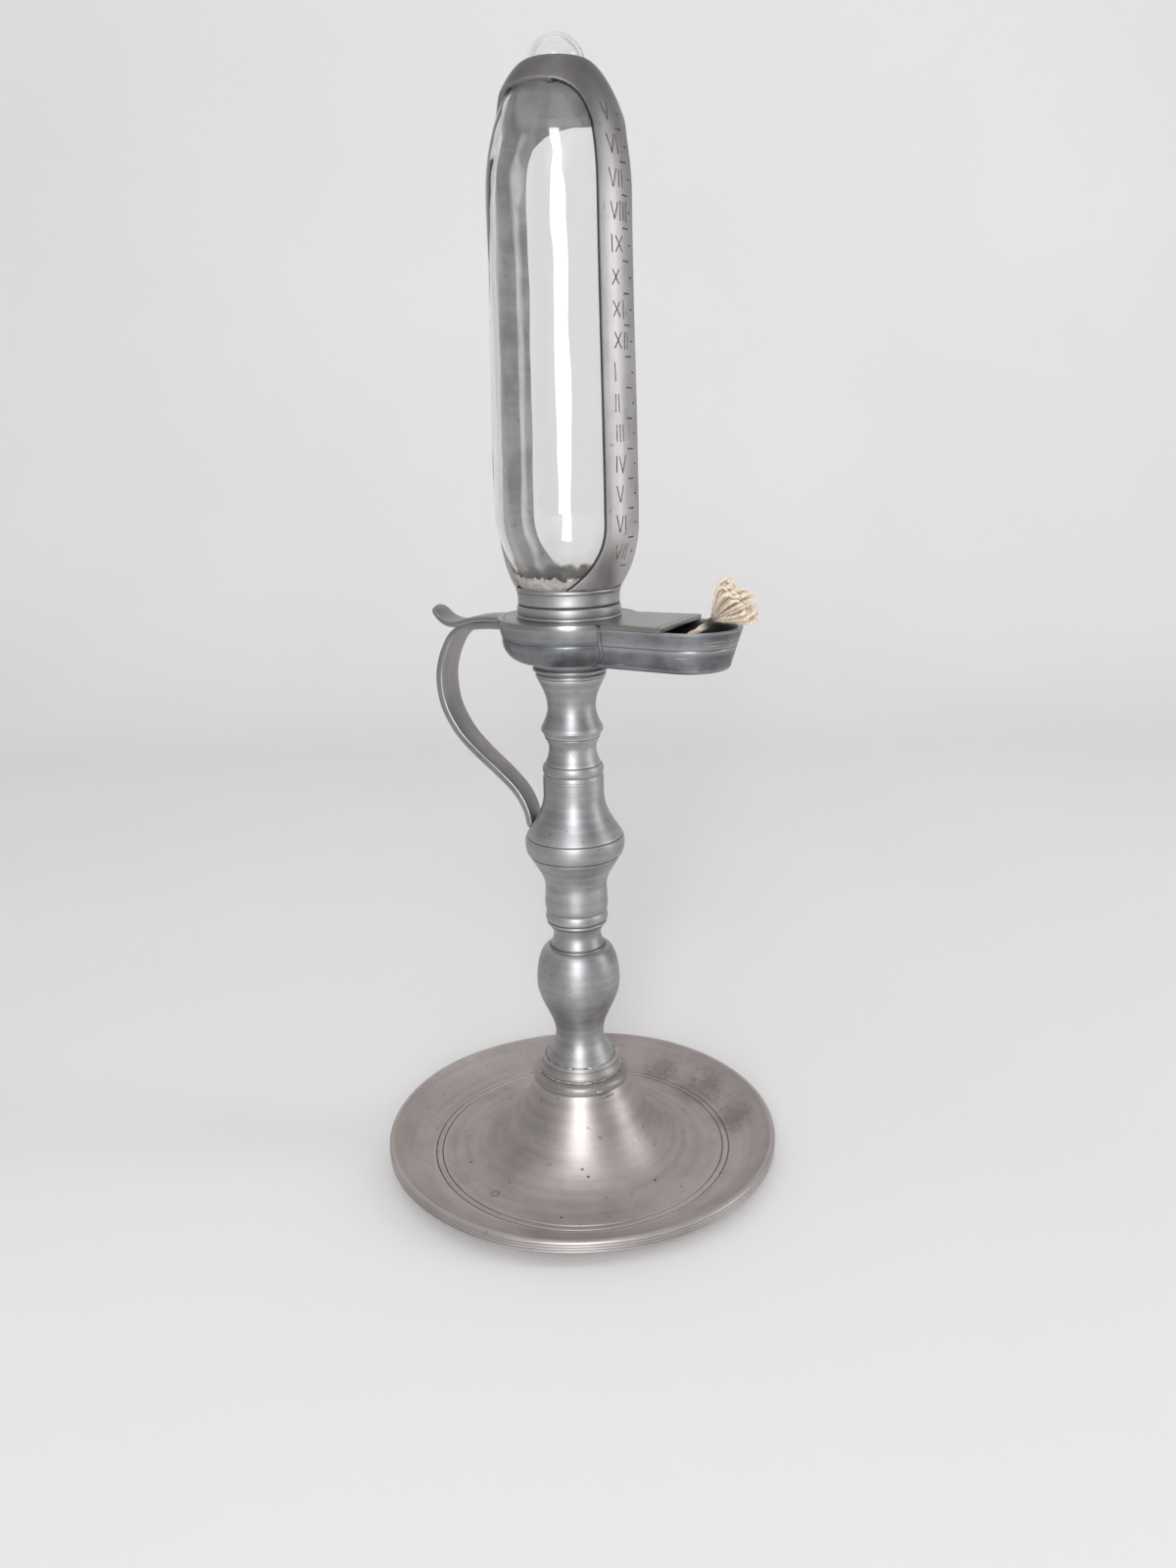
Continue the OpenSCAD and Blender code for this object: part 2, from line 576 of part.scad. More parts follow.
// Glass reservoir
glass_r = glass_d / 2;
glass_top_r = glass_top_d / 2;
glass_room = 0.4;
glass_step = 0.3;
shoulder_room = 4;
glass_z = collar_z + collar_floor + glass_room;
upper_z = shoulder_z - upper_shoulder_h;
shoulder_fullness = 1.45;
tip_fillet = 0.3;
function glass_outline() = concat(
    [[glass_foot_d / 2 - 2 * glass_step, glass_z], [glass_foot_d / 2 - glass_step, (glass_z + mount_z) / 2]],
    swell([glass_foot_d / 2, mount_z], [glass_r, mount_z + lower_shoulder_h + shoulder_room], 9),
    s_curve([glass_r, mount_z + lower_shoulder_h + shoulder_room], [glass_top_r, upper_z], 8),
    dome_curve([glass_top_r, upper_z], [tip_r + tip_fillet, shoulder_z], 12, shoulder_fullness),
    dome_curve([tip_r, shoulder_z + tip_fillet], [0, top_z], 7));
module glass_reservoir() color(clear_glass) rotate_extrude() polygon(concat(glass_outline(), [[0, top_z],
    [0, top_z - glass_t]], [for (p = reversed(shifted(glass_outline(), -glass_t)))
    if (p[0] > 0 && p[1] < top_z - glass_t) p]));

// Mount: a shell round the glass with two long windows
mount_skirt = 1;
function mount_outline() = concat(
    [[recess_r, mount_z - mount_skirt]],
    swell([recess_r, mount_z], [glass_r + glass_gap, mount_z + lower_shoulder_h], 9),
    s_curve([glass_r + glass_gap, mount_z + lower_shoulder_h], [glass_top_r + glass_gap, upper_z], 8),
    dome_curve([glass_top_r + glass_gap, upper_z], [tip_r + tip_fillet + glass_gap, shoulder_z + glass_gap],
    12, shoulder_fullness));
function mount_outside() = shifted(mount_outline(), strap_t);
// Outside radius of the mount at a height, and how it leans there
function mount_r(z) = lookup(z, [for (p = mount_outside()) [p[1], p[0]]]);
function mount_lean(z) = atan((mount_r(z + 1) - mount_r(z - 1)) / 2);

window_drop = 2.4;
crown_h = 5.4;
back_crown_h = 11;
window_low = mount_z - window_drop;
window_low_h = 22;
window_high_h = 20;
// How square the window's two ends are: 2 is an ellipse
window_low_square = 2.4;
window_high_square = 4;
window_angle = 90 - strap_angle / 2;
window_far = glass_d;
// Half of a window's outline, from bottom to top, as angle and height with rounded ends
function window_end(t, square) = [pow(sin(t), 2 / square), 1 - pow(cos(t), 2 / square)];
function window_side(high) = concat(
    [for (t = [0 : 10 : 90]) let (e = window_end(t, window_low_square))
        [e[0], window_low + window_low_h * e[1]]],
    [for (t = [90 : -10 : 0]) let (e = window_end(t, window_high_square))
        [e[0], high - window_high_h * e[1]]]);
function window_edge(side, high) = [for (p = window_side(high))
    [side * window_far * tan(window_angle * p[0]), p[1]]];
module window(crown) {
    high = shoulder_z - crown;
    translate([0, window_far, 0]) rotate([90, 0, 0])
        linear_extrude(window_far, scale = [0.001, 1], slices = 1)
        polygon(concat(window_edge(1, high), reversed(window_edge(-1, high))));
}
module mount(z_low, z_high) {
    difference() {
        intersection() {
            rotate_extrude() polygon(concat(mount_outside(), reversed(mount_outline())));
            translate([-glass_d, -glass_d, z_low]) cube([2 * glass_d, 2 * glass_d, z_high - z_low]);
        }
        window(back_crown_h);
        rotate([0, 0, 180]) window(crown_h);
    }
}

// Hours, cut into the strap from top to bottom
hours = ["V", "VI", "VII", "VIII", "IX", "X", "XI", "XII", "I", "II", "III", "IV", "V", "VI", "VII"];
noon_index = 7;
noon_h = 68.4;
noon_z = mount_z + noon_h;
// Angles at which numerals begin and ticks are centred, from the strap's middle
numeral_left = -10;
tick_in = 6.5;
tick_out = 12;
long_tick = 2.8;
short_tick = 1.2;
function hour_z(i) = noon_z + hour_h * (noon_index - i);
function glyph_w(c) = numeral_h * (c == "I" ? 0.26 : c == "V" ? 0.7 : 0.86);
// Strokes of a letter: how far from its middle, and how they slant
function glyph(c) = let (w = glyph_w(c)) c == "I" ? [[0, 0]]
    : c == "V" ? [[-w / 5, atan(0.4 * w / numeral_h)], [w / 5, -atan(0.4 * w / numeral_h)]]
    : [[0, atan(0.75 * w / numeral_h)], [0, -atan(0.75 * w / numeral_h)]];
function text_w(s, n) = n == 0 ? 0 : glyph_w(s[n - 1]) + text_w(s, n - 1);
// One cut, at an angle round the strap and a height
module stroke(angle, z, w, h, slant) {
    rotate([0, 0, angle]) translate([mount_r(z), 0, z]) rotate([0, mount_lean(z), 0])
        rotate([slant, 0, 0]) cube([2 * cut_depth, w, h], center = true);
}
module numeral(s, z) {
    for (k = [0 : len(s) - 1]) for (g = glyph(s[k]))
        stroke(numeral_left + (text_w(s, k) + glyph_w(s[k]) / 2 + g[0]) / mount_r(z) * 180 / PI, z,
            cut_w, numeral_h, g[1]);
}
module scale_cuts(z_low, z_high) {
    for (i = [0 : len(hours) - 1]) let (z = hour_z(i)) {
        if (z > z_low && z < z_high) {
            numeral(hours[i], z);
            stroke(tick_out, z, short_tick, cut_w, 0);
        }
        if (z - hour_h / 2 > z_low && z - hour_h / 2 < z_high)
            stroke(tick_in, z - hour_h / 2, long_tick, cut_w, 0);
    }
}

module half(side) {
    translate([side > 0 ? 0 : -glass_d, -glass_d, 0]) cube([glass_d, 2 * glass_d, top_z]);
}
module hour_strap() color(pewter) rotate([0, 0, strap_turn]) difference() {
    intersection() {
        mount(mount_z, cap_z);
        half(1);
    }
    scale_cuts(mount_z + numeral_h, cap_z - 2 * cut_w);
}
module plain_strap() color(pewter) rotate([0, 0, strap_turn]) intersection() {
    mount(mount_z, cap_z);
    half(-1);
}
module top_cap() color(dark_pewter) rotate([0, 0, strap_turn]) difference() {
    mount(cap_z, top_z);
    translate([0, 0, cap_z]) cylinder(r = tip_r + 2 * glass_gap, h = cap_h);
    scale_cuts(cap_z + 2 * cut_w, top_z);
}

// Cement between the glass and the collar, standing a little above the collar
module neck_cement() color(putty) rotate_extrude() polygon(concat(
    [[recess_r - solder_gap, glass_z]],
    [for (p = shifted(mount_outline(), -solder_gap))
    if (p[1] >= mount_z - mount_skirt && p[1] < mount_z + cement_h) p],
    reversed([for (p = shifted(glass_outline(), solder_gap)) if (p[1] < mount_z + cement_h) p])));

// Wick: it lies in the bowl and the spout and climbs to the spout's edge.
// Heights are above the bowl's bottom.
wick_d = 2.2;
wick_sides = 8;
wick_route = [[-8, 4, 3.4], [-4.5, 2.5, 3.3], [-1, 1, 3.3], [2.5, 0.2, 3.3], [6, -0.3, 3.3],
    [9.5, -0.4, 3.3], [13, -0.3, 3.3], [16.5, -0.1, 3.3], [20, 0.1, 3.4], [23.5, 0.3, 3.8], [27, 0.5, 4.6],
    [30.5, 0.7, 5.7], [34, 0.9, 7], [37.5, 1.1, 8.6], [41, 1.4, 10.5], [44, 1.7, 12.6], [46.6, 2, 14.8]];
function tangent(p, i) = unit(p[min(i + 1, len(p) - 1)] - p[max(i - 1, 0)]);
function sideways(t) = unit(cross(t, [0, 0, 1]));
module tube(route, d, sides) {
    n = len(route) - 1;
    points = [for (i = [0 : n]) let (t = tangent(route, i), s = sideways(t), u = cross(s, t))
        for (k = [0 : sides - 1]) route[i] + d / 2 * (cos(360 * k / sides) * s + sin(360 * k / sides) * u)];
    walls = [for (i = [0 : n - 1]) for (k = [0 : sides - 1])
        let (a = sides * i + k, b = sides * i + (k + 1) % sides)
        for (f = [[a, b + sides, b], [a, a + sides, b + sides]]) f];
    last = sides * n;
    ends = [for (k = [1 : sides - 2]) for (f = [[0, k, k + 1], [last, last + k + 1, last + k]]) f];
    polyhedron(points, concat(walls, ends));
}
module wick() color(cotton) translate([0, 0, bowl_z]) tube(wick_route, wick_d, wick_sides);

// Frayed end of the wick, a mop of threads that goes on where the strand ends
tuft_l = 14.4;
tuft_d = 13.2;
module wick_tuft() color(cotton) {
    last = len(wick_route) - 1;
    t = tangent(wick_route, last);
    translate(wick_route[last] + [0, 0, bowl_z]) rotate([0, acos(t[2]), atan2(t[1], t[0])])
        translate([0, 0, solder_gap]) rotate_extrude() polygon(concat([[0, 0], [wick_d / 2, 0]],
        swell([wick_d / 2, 1], [tuft_d / 2, 0.65 * tuft_l], 6),
        dome_curve([tuft_d / 2, 0.65 * tuft_l], [0, tuft_l], 6), [[0, tuft_l]]));
}

drip_pan();
foot_ring();
stem_baluster();
stem_neck();
stem_cup();
stem_bell();
lower_spool();
upper_spool();
bowl_seat();
lamp_bowl();
spout();
lamp_cover();
socket_ring();
handle();
thumb_rest();
wick();
wick_tuft();
seal_washer();
neck_collar();
hour_strap();
plain_strap();
top_cap();
glass_reservoir();
neck_cement();
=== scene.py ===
# Oil lamp clock: finishes, turned and cut pieces, stage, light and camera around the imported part.
import math
import random

import bmesh
import bpy
from mathutils import Matrix, Vector, noise


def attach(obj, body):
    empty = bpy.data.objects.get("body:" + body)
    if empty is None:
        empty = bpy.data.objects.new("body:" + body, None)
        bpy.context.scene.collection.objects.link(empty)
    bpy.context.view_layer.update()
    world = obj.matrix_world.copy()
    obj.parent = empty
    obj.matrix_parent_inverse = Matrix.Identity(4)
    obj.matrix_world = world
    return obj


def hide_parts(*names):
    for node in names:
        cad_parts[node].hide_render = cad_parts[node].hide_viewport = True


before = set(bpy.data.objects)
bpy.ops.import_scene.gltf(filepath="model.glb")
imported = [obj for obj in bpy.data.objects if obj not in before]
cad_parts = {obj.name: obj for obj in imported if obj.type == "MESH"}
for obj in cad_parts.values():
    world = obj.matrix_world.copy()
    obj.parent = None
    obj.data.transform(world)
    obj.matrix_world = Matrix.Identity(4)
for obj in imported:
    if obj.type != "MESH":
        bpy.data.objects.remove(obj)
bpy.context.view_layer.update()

MM = 0.001
SEGMENTS = 160
SHARP_ANGLE = 38
scene = bpy.context.scene
scene.view_settings.view_transform = "Standard"

# Heights of the joints from the table up, with the length of each stem piece, in millimetres
FOOT = 27.0
FOOT_H = 8.2
BALUSTER = FOOT + FOOT_H
BALUSTER_H = 39.4
NECK = BALUSTER + BALUSTER_H
NECK_H = 12.8
CUP = NECK + NECK_H
CUP_H = 25.4
BELL = CUP + CUP_H
BELL_H = 20.6
LOWER_SPOOL = BELL + BELL_H
LOWER_H = 14.4
UPPER_SPOOL = LOWER_SPOOL + LOWER_H
UPPER_H = 16.6
SEAT = UPPER_SPOOL + UPPER_H
SEAT_H = 4.8
BOWL = SEAT + SEAT_H
BOWL_H = 12.4
RIM = BOWL + BOWL_H
COVER = RIM + 1.3
SOCKET = COVER + 3.7
COLLAR = SOCKET + 0.5
MOUNT = COLLAR + 4.8
TOP = MOUNT + 148.0
SHOULDER = TOP - 8.8
CAP = TOP - 25.0
BORE = 3.8

# Drip pan: its edge, its sheet, and where dome, flare and rise begin and end
PAN_R = 65.5
PAN_H = 8.5
PAN_T = 1.6
DOME_R = 15.3
FLARE_R = 46.0
RISE_R = 51.1
EDGE_W = 1.4
EDGE_H = 3.6
CIRCLES = (48.0, 50.1)

# Wick: the route's points as in the part, with heights above the bowl's bottom
WICK_D = 2.2
WICK_ROUTE = [(-8, 4, 3.4), (-4.5, 2.5, 3.3), (-1, 1, 3.3), (2.5, 0.2, 3.3), (6, -0.3, 3.3), (9.5, -0.4, 3.3),
              (13, -0.3, 3.3), (16.5, -0.1, 3.3), (20, 0.1, 3.4), (23.5, 0.3, 3.8), (27, 0.5, 4.6),
              (30.5, 0.7, 5.7), (34, 0.9, 7), (37.5, 1.1, 8.6), (41, 1.4, 10.5), (44, 1.7, 12.6),
              (46.6, 2, 14.8)]

# Camera at the photograph's place: how far off, how high, and how it is turned
CAMERA_AZIMUTH = 28.0
CAMERA_DISTANCE = 372.7
CAMERA_HEIGHT = 236.5
CAMERA_YAW = 0.70
CAMERA_PITCH = 16.05
CAMERA_ROLL = 1.27
SENSOR_W = 36.0
LENS = 28.125


def turned_about(axis, degrees):
    return Matrix.Rotation(math.radians(degrees), 4, axis)


def moved(x, y, z):
    return Matrix.Translation((x * MM, y * MM, z * MM))


def place_camera():
    data = bpy.data.cameras.new("camera")
    data.sensor_width = SENSOR_W
    data.lens = LENS
    data.clip_start = 0.01
    camera = bpy.data.objects.new("camera", data)
    azimuth = math.radians(CAMERA_AZIMUTH)
    spot = Vector((math.sin(azimuth) * CAMERA_DISTANCE, -math.cos(azimuth) * CAMERA_DISTANCE, CAMERA_HEIGHT))
    heading = turned_about("Z", CAMERA_AZIMUTH - CAMERA_YAW)
    tilt = turned_about("X", 90 - CAMERA_PITCH)
    camera.matrix_world = Matrix.Translation(spot * MM) @ heading @ tilt @ turned_about("Z", -CAMERA_ROLL)
    scene.collection.objects.link(camera)
    scene.camera = camera


place_camera()


class Value:
    """A socket of a finish. Sums, products and quotients on it add Math nodes."""

    def __init__(self, finish, socket):
        self.finish = finish
        self.socket = socket

    def maths(self, operation, *terms):
        return self.finish.node("Math", {"operation": operation}, dict(enumerate(terms)))

    def __add__(self, other):
        return self.maths("ADD", self, other)

    def __sub__(self, other):
        return self.maths("SUBTRACT", self, other)

    def __rsub__(self, other):
        return self.maths("SUBTRACT", other, self)

    def __mul__(self, other):
        return self.maths("MULTIPLY", self, other)

    def __truediv__(self, other):
        return self.maths("DIVIDE", self, other)

    def between(self, low, high):
        """0 below low, 1 above high, with a smooth step between."""
        return self.finish.node("MapRange", {"interpolation_type": "SMOOTHSTEP"},
                                {"Value": self, "From Min": low, "From Max": high})


class Finish:
    """A procedural material with a Principled shader. A plain colour is red, green and blue."""

    def __init__(self, name, fixed):
        self.material = bpy.data.materials.new(name)
        self.material.use_nodes = True
        self.tree = self.material.node_tree
        self.shader = next(n for n in self.tree.nodes if n.type == "BSDF_PRINCIPLED")
        for socket, value in fixed.items():
            self.shader.inputs[socket].default_value = value
        self.place = self.node("TexCoord", out="Object")
        self.x, self.y, self.z = (self.node("SeparateXYZ", None, {0: self.place}, axis) for axis in "XYZ")

    def node(self, kind, settings=None, sockets=None, out=0):
        made = self.tree.nodes.new("ShaderNode" + kind)
        for key, value in (settings or {}).items():
            setattr(made, key, value)
        for key, value in (sockets or {}).items():
            self.feed(made.inputs[key], value)
        return Value(self, made.outputs[out])

    def feed(self, socket, value):
        if isinstance(value, Value):
            self.tree.links.new(value.socket, socket)
        elif socket.type == "RGBA":
            socket.default_value = (*value, 1.0)
        else:
            socket.default_value = value

    def set(self, socket, value):
        self.feed(self.shader.inputs[socket], value)

    def mix(self, share, a, b):
        return self.node("Mix", {"data_type": "RGBA"}, {0: share, 6: a, 7: b}, 2)

    def attribute(self, name):
        return self.node("Attribute", {"attribute_name": name}, None, "Fac")

    def combined(self, x, y, z):
        return self.node("CombineXYZ", None, {"X": x, "Y": y, "Z": z})

    def grain(self, vector, scale, detail=3.0, roughness=0.55):
        return self.node("TexNoise", None, {"Vector": vector, "Scale": scale, "Detail": detail,
                                            "Roughness": roughness})

    def stretched(self, x, y, z):
        return self.node("VectorMath", {"operation": "MULTIPLY"}, {0: self.place, 1: (x, y, z)})

    def above(self, low, high):
        """0 below one height in millimetres, 1 above another."""
        return self.z.between(low * MM, high * MM)

    def far_from(self, x, y, z):
        """Distance in millimetres from a point given in millimetres."""
        return self.node("VectorMath", {"operation": "DISTANCE"},
                         {0: self.place, 1: (x * MM, y * MM, z * MM)}, "Value") / MM

    def bump(self, height, distance, strength=1.0):
        self.set("Normal", self.node("Bump", None, {"Height": height, "Distance": distance * MM,
                                                    "Strength": strength}))


SOOT = (0.035, 0.032, 0.030)
# Worn metal, which on the straps' window rounds is also a painted highlight.
BRIGHT = (0.60, 0.59, 0.58)
SCRATCHED = (0.62, 0.62, 0.63)
TARNISHED = (0.115, 0.104, 0.10)


def tool_lines(f, follow, density, round_drift, flat_drift):
    """Coordinates that run fast across the tool's lines and slowly along them."""
    if follow == "along":
        return f.combined(f.attribute("along") * density, f.x * round_drift, f.y * round_drift)
    return f.stretched(*(density if axis in follow else flat_drift for axis in "XYZ"))


def pewter(name, pale, deep, rough, lines_share=1.0, follow="along", stretch=0.45, tarnish=None, dirt=0.65,
           clouding=1.5, scratches=0.0, metal=1.0, wear_and_highlight=0.4):
    """Worn pewter: tool lines round the piece, cloudy patina, dark hollows and edges worn bright, which on the
    straps also carry a painted highlight.

    The tool lines stretch highlights along the axis. Tarnish is two heights: where brown begins, and where
    it is full.
    """
    f = Finish(name, {"Metallic": metal, "Anisotropic": stretch, "Anisotropic Rotation": 0.25})
    lines = f.grain(tool_lines(f, follow, 2600.0, 38.0, 45.0), 1.0, 3.0, 0.6)
    bands = f.grain(tool_lines(f, follow, 420.0, 22.0, 30.0), 1.0, 2.0)
    clouds = f.grain(f.place, 62.0, 5.0, 0.62)
    specks = f.grain(f.place, 420.0, 2.0).between(0.66, 0.76)
    edge = f.attribute("edge")
    grime = (edge * -1.0).between(0.12, 0.85)
    worn_and_lit_edges = edge.between(0.15, 0.9)
    tone = (clouds - 0.5) * clouding + (bands - 0.5) * 0.7 + (lines - 0.5) * (0.55 * lines_share) + 0.5
    shade = f.mix(tone.between(-0.05, 1.05), deep, pale)
    shade = f.mix(specks * 0.35, shade, SOOT)
    shade = f.mix(grime * dirt, shade, SOOT)
    if scratches:
        marks = f.grain(f.stretched(55.0, 55.0, 2400.0), 1.0, 1.0).between(0.66, 0.72)
        patches = f.grain(f.place, 95.0, 1.0).between(0.5, 0.62)
        shade = f.mix(marks * patches * scratches, shade, SCRATCHED)
    if tarnish:
        brown = f.above(*tarnish) * (clouds.between(0.2, 0.6) * 0.3 + 0.55)
        shade = f.mix(brown, shade, TARNISHED)
    f.metal_shade = f.mix(worn_and_lit_edges * wear_and_highlight, shade, BRIGHT)
    f.set("Base Color", f.metal_shade)
    f.set("Roughness", (clouds - 0.5) * 0.16 + (lines - 0.5) * (0.12 * lines_share) + grime * 0.2 + rough)
    f.bump(lines * (0.7 * lines_share) + bands * 0.6 + f.grain(f.place, 150.0, 2.0) * 0.7, 0.045, 0.75)
    return f


def flare_height(share):
    """Height of the pan's flare at a share of the way out from its dome."""
    return PAN_T + (FOOT - PAN_T) * max(0.0, 1.0 - share) ** 2.6


def stained_pan():
    """The pan's pewter is warmer, with dark stains at the back, a ring mark and a few pits in front."""
    f = pewter("pan_pewter", (0.55, 0.493, 0.468), (0.36, 0.322, 0.305), 0.50, 0.7, clouding=1.2)
    shade = f.metal_shade
    blots = f.grain(f.place, 330.0, 5.0, 0.7)
    for x, y, z, reach in ((6.0, 52.0, 4.0, 15.0), (24.0, 46.0, 5.0, 20.0), (42.0, 33.0, 4.0, 16.0)):
        near = 1.0 - f.far_from(x, y, z).between(0.0, reach)
        shade = f.mix((near * blots).between(0.14, 0.52) * 0.42, shade, (0.09, 0.082, 0.072))
    ring = f.far_from(-11.0, -40.1, 1.9)
    mark = ring.between(0.4, 1.0) * (1.0 - ring.between(1.2, 2.2))
    shade = f.mix(mark * 0.45, shade, (0.16, 0.145, 0.13))
    for x, y in ((12.7, -24.7), (15.2, -25.4), (33.2, -13.2), (-27.4, -28.6), (14.0, -41.7), (-36.0, 12.0)):
        height = flare_height((math.hypot(x, y) - DOME_R) / (FLARE_R - DOME_R))
        pit = 1.0 - f.far_from(x, y, height).between(0.25, 0.6)
        shade = f.mix(pit * 0.8, shade, SOOT)
    f.set("Base Color", shade)
    return f


STEM_PEWTER = pewter("stem_pewter", (0.47, 0.462, 0.46), (0.27, 0.264, 0.262), 0.50)
FOOT_PEWTER = pewter("foot_pewter", (0.43, 0.397, 0.378), (0.25, 0.228, 0.214), 0.50)
PAN_PEWTER = stained_pan()
BOWL_PEWTER = pewter("bowl_pewter", (0.255, 0.263, 0.278), (0.115, 0.12, 0.13), 0.37, 0.7,
                     dirt=0.22, clouding=3.2, scratches=0.6)
SPOUT_PEWTER = pewter("spout_pewter", (0.255, 0.263, 0.278), (0.11, 0.115, 0.125), 0.37, 0.6, "Z", 0.3,
                      dirt=0.22, clouding=3.2, scratches=0.6)
SEAM_PEWTER = pewter("seam_pewter", (0.28, 0.286, 0.298), (0.13, 0.135, 0.143), 0.42, 0.4, "Z", 0.0,
                     clouding=2.4)
SOOTY_PEWTER = pewter("sooty_pewter", (0.075, 0.072, 0.075), (0.02, 0.019, 0.021), 0.42, 0.4, "Z", 0.0)
COVER_PEWTER = pewter("cover_pewter", (0.20, 0.183, 0.172), (0.10, 0.092, 0.086), 0.34, 0.5, "Y", 0.2)
MOUNT_PEWTER = pewter("mount_pewter", (0.56, 0.535, 0.525), (0.36, 0.345, 0.338), 0.46, 0.5, "XY", 0.4,
                      (CAP - 30.0, TOP - 8.0))
# Painted shade: the mount's cut edges that face sideways get a near black colour in place of their shadow.
CUT_EDGE_PAINTED_SHADE = pewter("cut_edge_painted_shade", (0.105, 0.096, 0.104), (0.05, 0.045, 0.05), 0.45, 0.3, "Z", 0.0, wear_and_highlight=0.08)
# Raw inside of the mount, paler and rougher, with its colour raised near white as painted light where the
# glass holds light back.
RAW_INSIDE_PAINTED_LIGHT = pewter("raw_inside_painted_light", (0.98, 0.96, 0.94), (0.56, 0.53, 0.505), 0.55, 0.3, "Z", 0.2,
                    clouding=2.6, metal=0.1)
HANDLE_PEWTER = pewter("handle_pewter", (0.27, 0.255, 0.246), (0.125, 0.117, 0.113), 0.36, 0.6, "Y", 0.3,
                       clouding=1.9)


def lumpy(name, metal, grain, step, deep, pale, rough, depth):
    """A plain finish in lumps of two shades.

    Grain is the lumps' scale, detail and roughness, and step is where the paler shade begins and is full.
    Rough is the least roughness and what the lumps add to it, and depth is their relief in millimetres.
    """
    f = Finish(name, {"Metallic": metal})
    lumps = f.grain(f.place, *grain)
    f.set("Base Color", f.mix(lumps.between(*step), deep, pale))
    f.set("Roughness", lumps * rough[1] + rough[0])
    f.bump(lumps, depth)
    return f


CUT_DIRT = lumpy("dirt_in_cuts", 0.35, (700.0, 3.0), (0.3, 0.75), (0.055, 0.05, 0.048), (0.22, 0.207, 0.198),
                 (0.5, 0.3), 0.05)
WORN_CUT = lumpy("worn_cut", 0.8, (700.0, 3.0), (0.3, 0.75), (0.17, 0.16, 0.155), (0.46, 0.44, 0.43),
                 (0.5, 0.3), 0.05)
SOLDER = lumpy("solder", 1.0, (650.0, 4.0, 0.6), (0.35, 0.65), (0.26, 0.243, 0.228), (0.54, 0.518, 0.50),
               (0.25, 0.35), 0.12)
CEMENT = lumpy("brown_cement", 0.0, (420.0, 5.0, 0.65), (0.3, 0.7), (0.28, 0.253, 0.23), (0.49, 0.45, 0.412),
               (0.5, 0.3), 0.28)
LEATHER = lumpy("oiled_leather", 0.0, (900.0, 4.0), (0.3, 0.7), (0.018, 0.014, 0.012), (0.05, 0.038, 0.03),
                (0.45, 0.3), 0.1)


def blown_glass():
    """Clear glass with a brown film at its foot. Its waves grow towards the cap and end at the tip."""
    f = Finish("blown_glass", {"Transmission Weight": 1.0, "IOR": 1.47})
    film = (1.0 - f.above(MOUNT + 1.0, MOUNT + 17.0)) * f.grain(f.place, 160.0, 4.0).between(0.3, 0.75)
    f.set("Base Color", f.mix(film * 0.6, (0.985, 0.99, 0.988), (0.68, 0.63, 0.58)))
    f.set("Roughness", film * 0.35 + 0.004)
    top = f.above(CAP - 43.0, CAP - 3.0) - f.above(CAP + 2.0, SHOULDER)
    long_waves = f.grain(f.stretched(70.0, 70.0, 16.0), 1.0, 1.5)
    short_waves = f.grain(f.stretched(75.0, 75.0, 95.0), 1.0, 0.5)
    f.bump(long_waves + short_waves * (top * 1.5 + 0.12), 0.8, 0.8)
    return f


GLASS = blown_glass()


def cotton_yarn(name, black_to, cream_from, char):
    """Cream cotton with fibres along the yarn's lay. It is black near the wick's end."""
    f = Finish(name, {"Metallic": 0.0, "Sheen Weight": 0.25, "Roughness": 0.9})
    fibres = f.grain(f.combined(f.attribute("lay") * 9.0, f.x * 900.0, f.z * 900.0), 1.0, 3.0)
    shade = f.mix(fibres.between(0.25, 0.75), (0.58, 0.45, 0.33), (0.88, 0.775, 0.63))
    stains = f.grain(f.place, 230.0, 2.0).between(0.52, 0.72)
    shade = f.mix(stains * 0.35, shade, (0.46, 0.345, 0.245))
    x, y, z = WICK_ROUTE[-1]
    near = 1.0 - f.far_from(x, y, BOWL + z).between(black_to, cream_from)
    f.set("Base Color", f.mix(near * char, shade, (0.035, 0.028, 0.024)))
    f.bump(fibres, 0.15)
    return f


WICK_COTTON = cotton_yarn("wick_cotton", 2.5, 5.5, 0.95)
TUFT_COTTON = cotton_yarn("tuft_cotton", 0.6, 3.2, 0.7)


# Outlines. A point is (radius, height) in millimetres, and a run leaves out its last point.
def run(a, b, n, radius_share, height_share):
    return [(a[0] + (b[0] - a[0]) * radius_share(i / n), a[1] + (b[1] - a[1]) * height_share(i / n))
            for i in range(n)]


def quarter_sine(t):
    return math.sin(t * math.pi / 2)


def quarter_cosine(t):
    return 1 - math.cos(t * math.pi / 2)


def straight(t):
    return t


def s_curve(a, b, n=28):
    return run(a, b, n, lambda t: (1 - math.cos(math.pi * t)) / 2, straight)


def dome(a, b, n=18, fullness=1.0):
    return run(a, b, n, lambda t: 1 - math.cos(t * math.pi / 2) ** fullness, quarter_sine)


def cup(a, b, n=18):
    return run(a, b, n, quarter_sine, quarter_cosine)


def swell(a, b, n=20):
    return run(a, b, n, quarter_sine, straight)


def flare(a, b, n=20):
    return run(a, b, n, quarter_cosine, straight)


def past(s, start):
    """How far a share of the way is past a start: 0 up to it, and 1 at the end."""
    return max(0.0, s - start) / (1 - start)


def direction(line, i):
    """Which way a line runs at one of its points."""
    ahead = Vector(line[min(i + 1, len(line) - 1)])
    return (ahead - Vector(line[max(i - 1, 0)])).normalized()


def shifted(points, distance):
    """The same line moved to the right of the way it runs."""
    out = []
    for i, p in enumerate(points):
        t = direction(points, i)
        out.append((p[0] + distance * t.y, p[1] - distance * t.x))
    return out


def fine_line(radius, height, depth, half):
    """A cut line across an upright wall."""
    return [(radius, height - half), (radius - depth, height), (radius, height + half)]


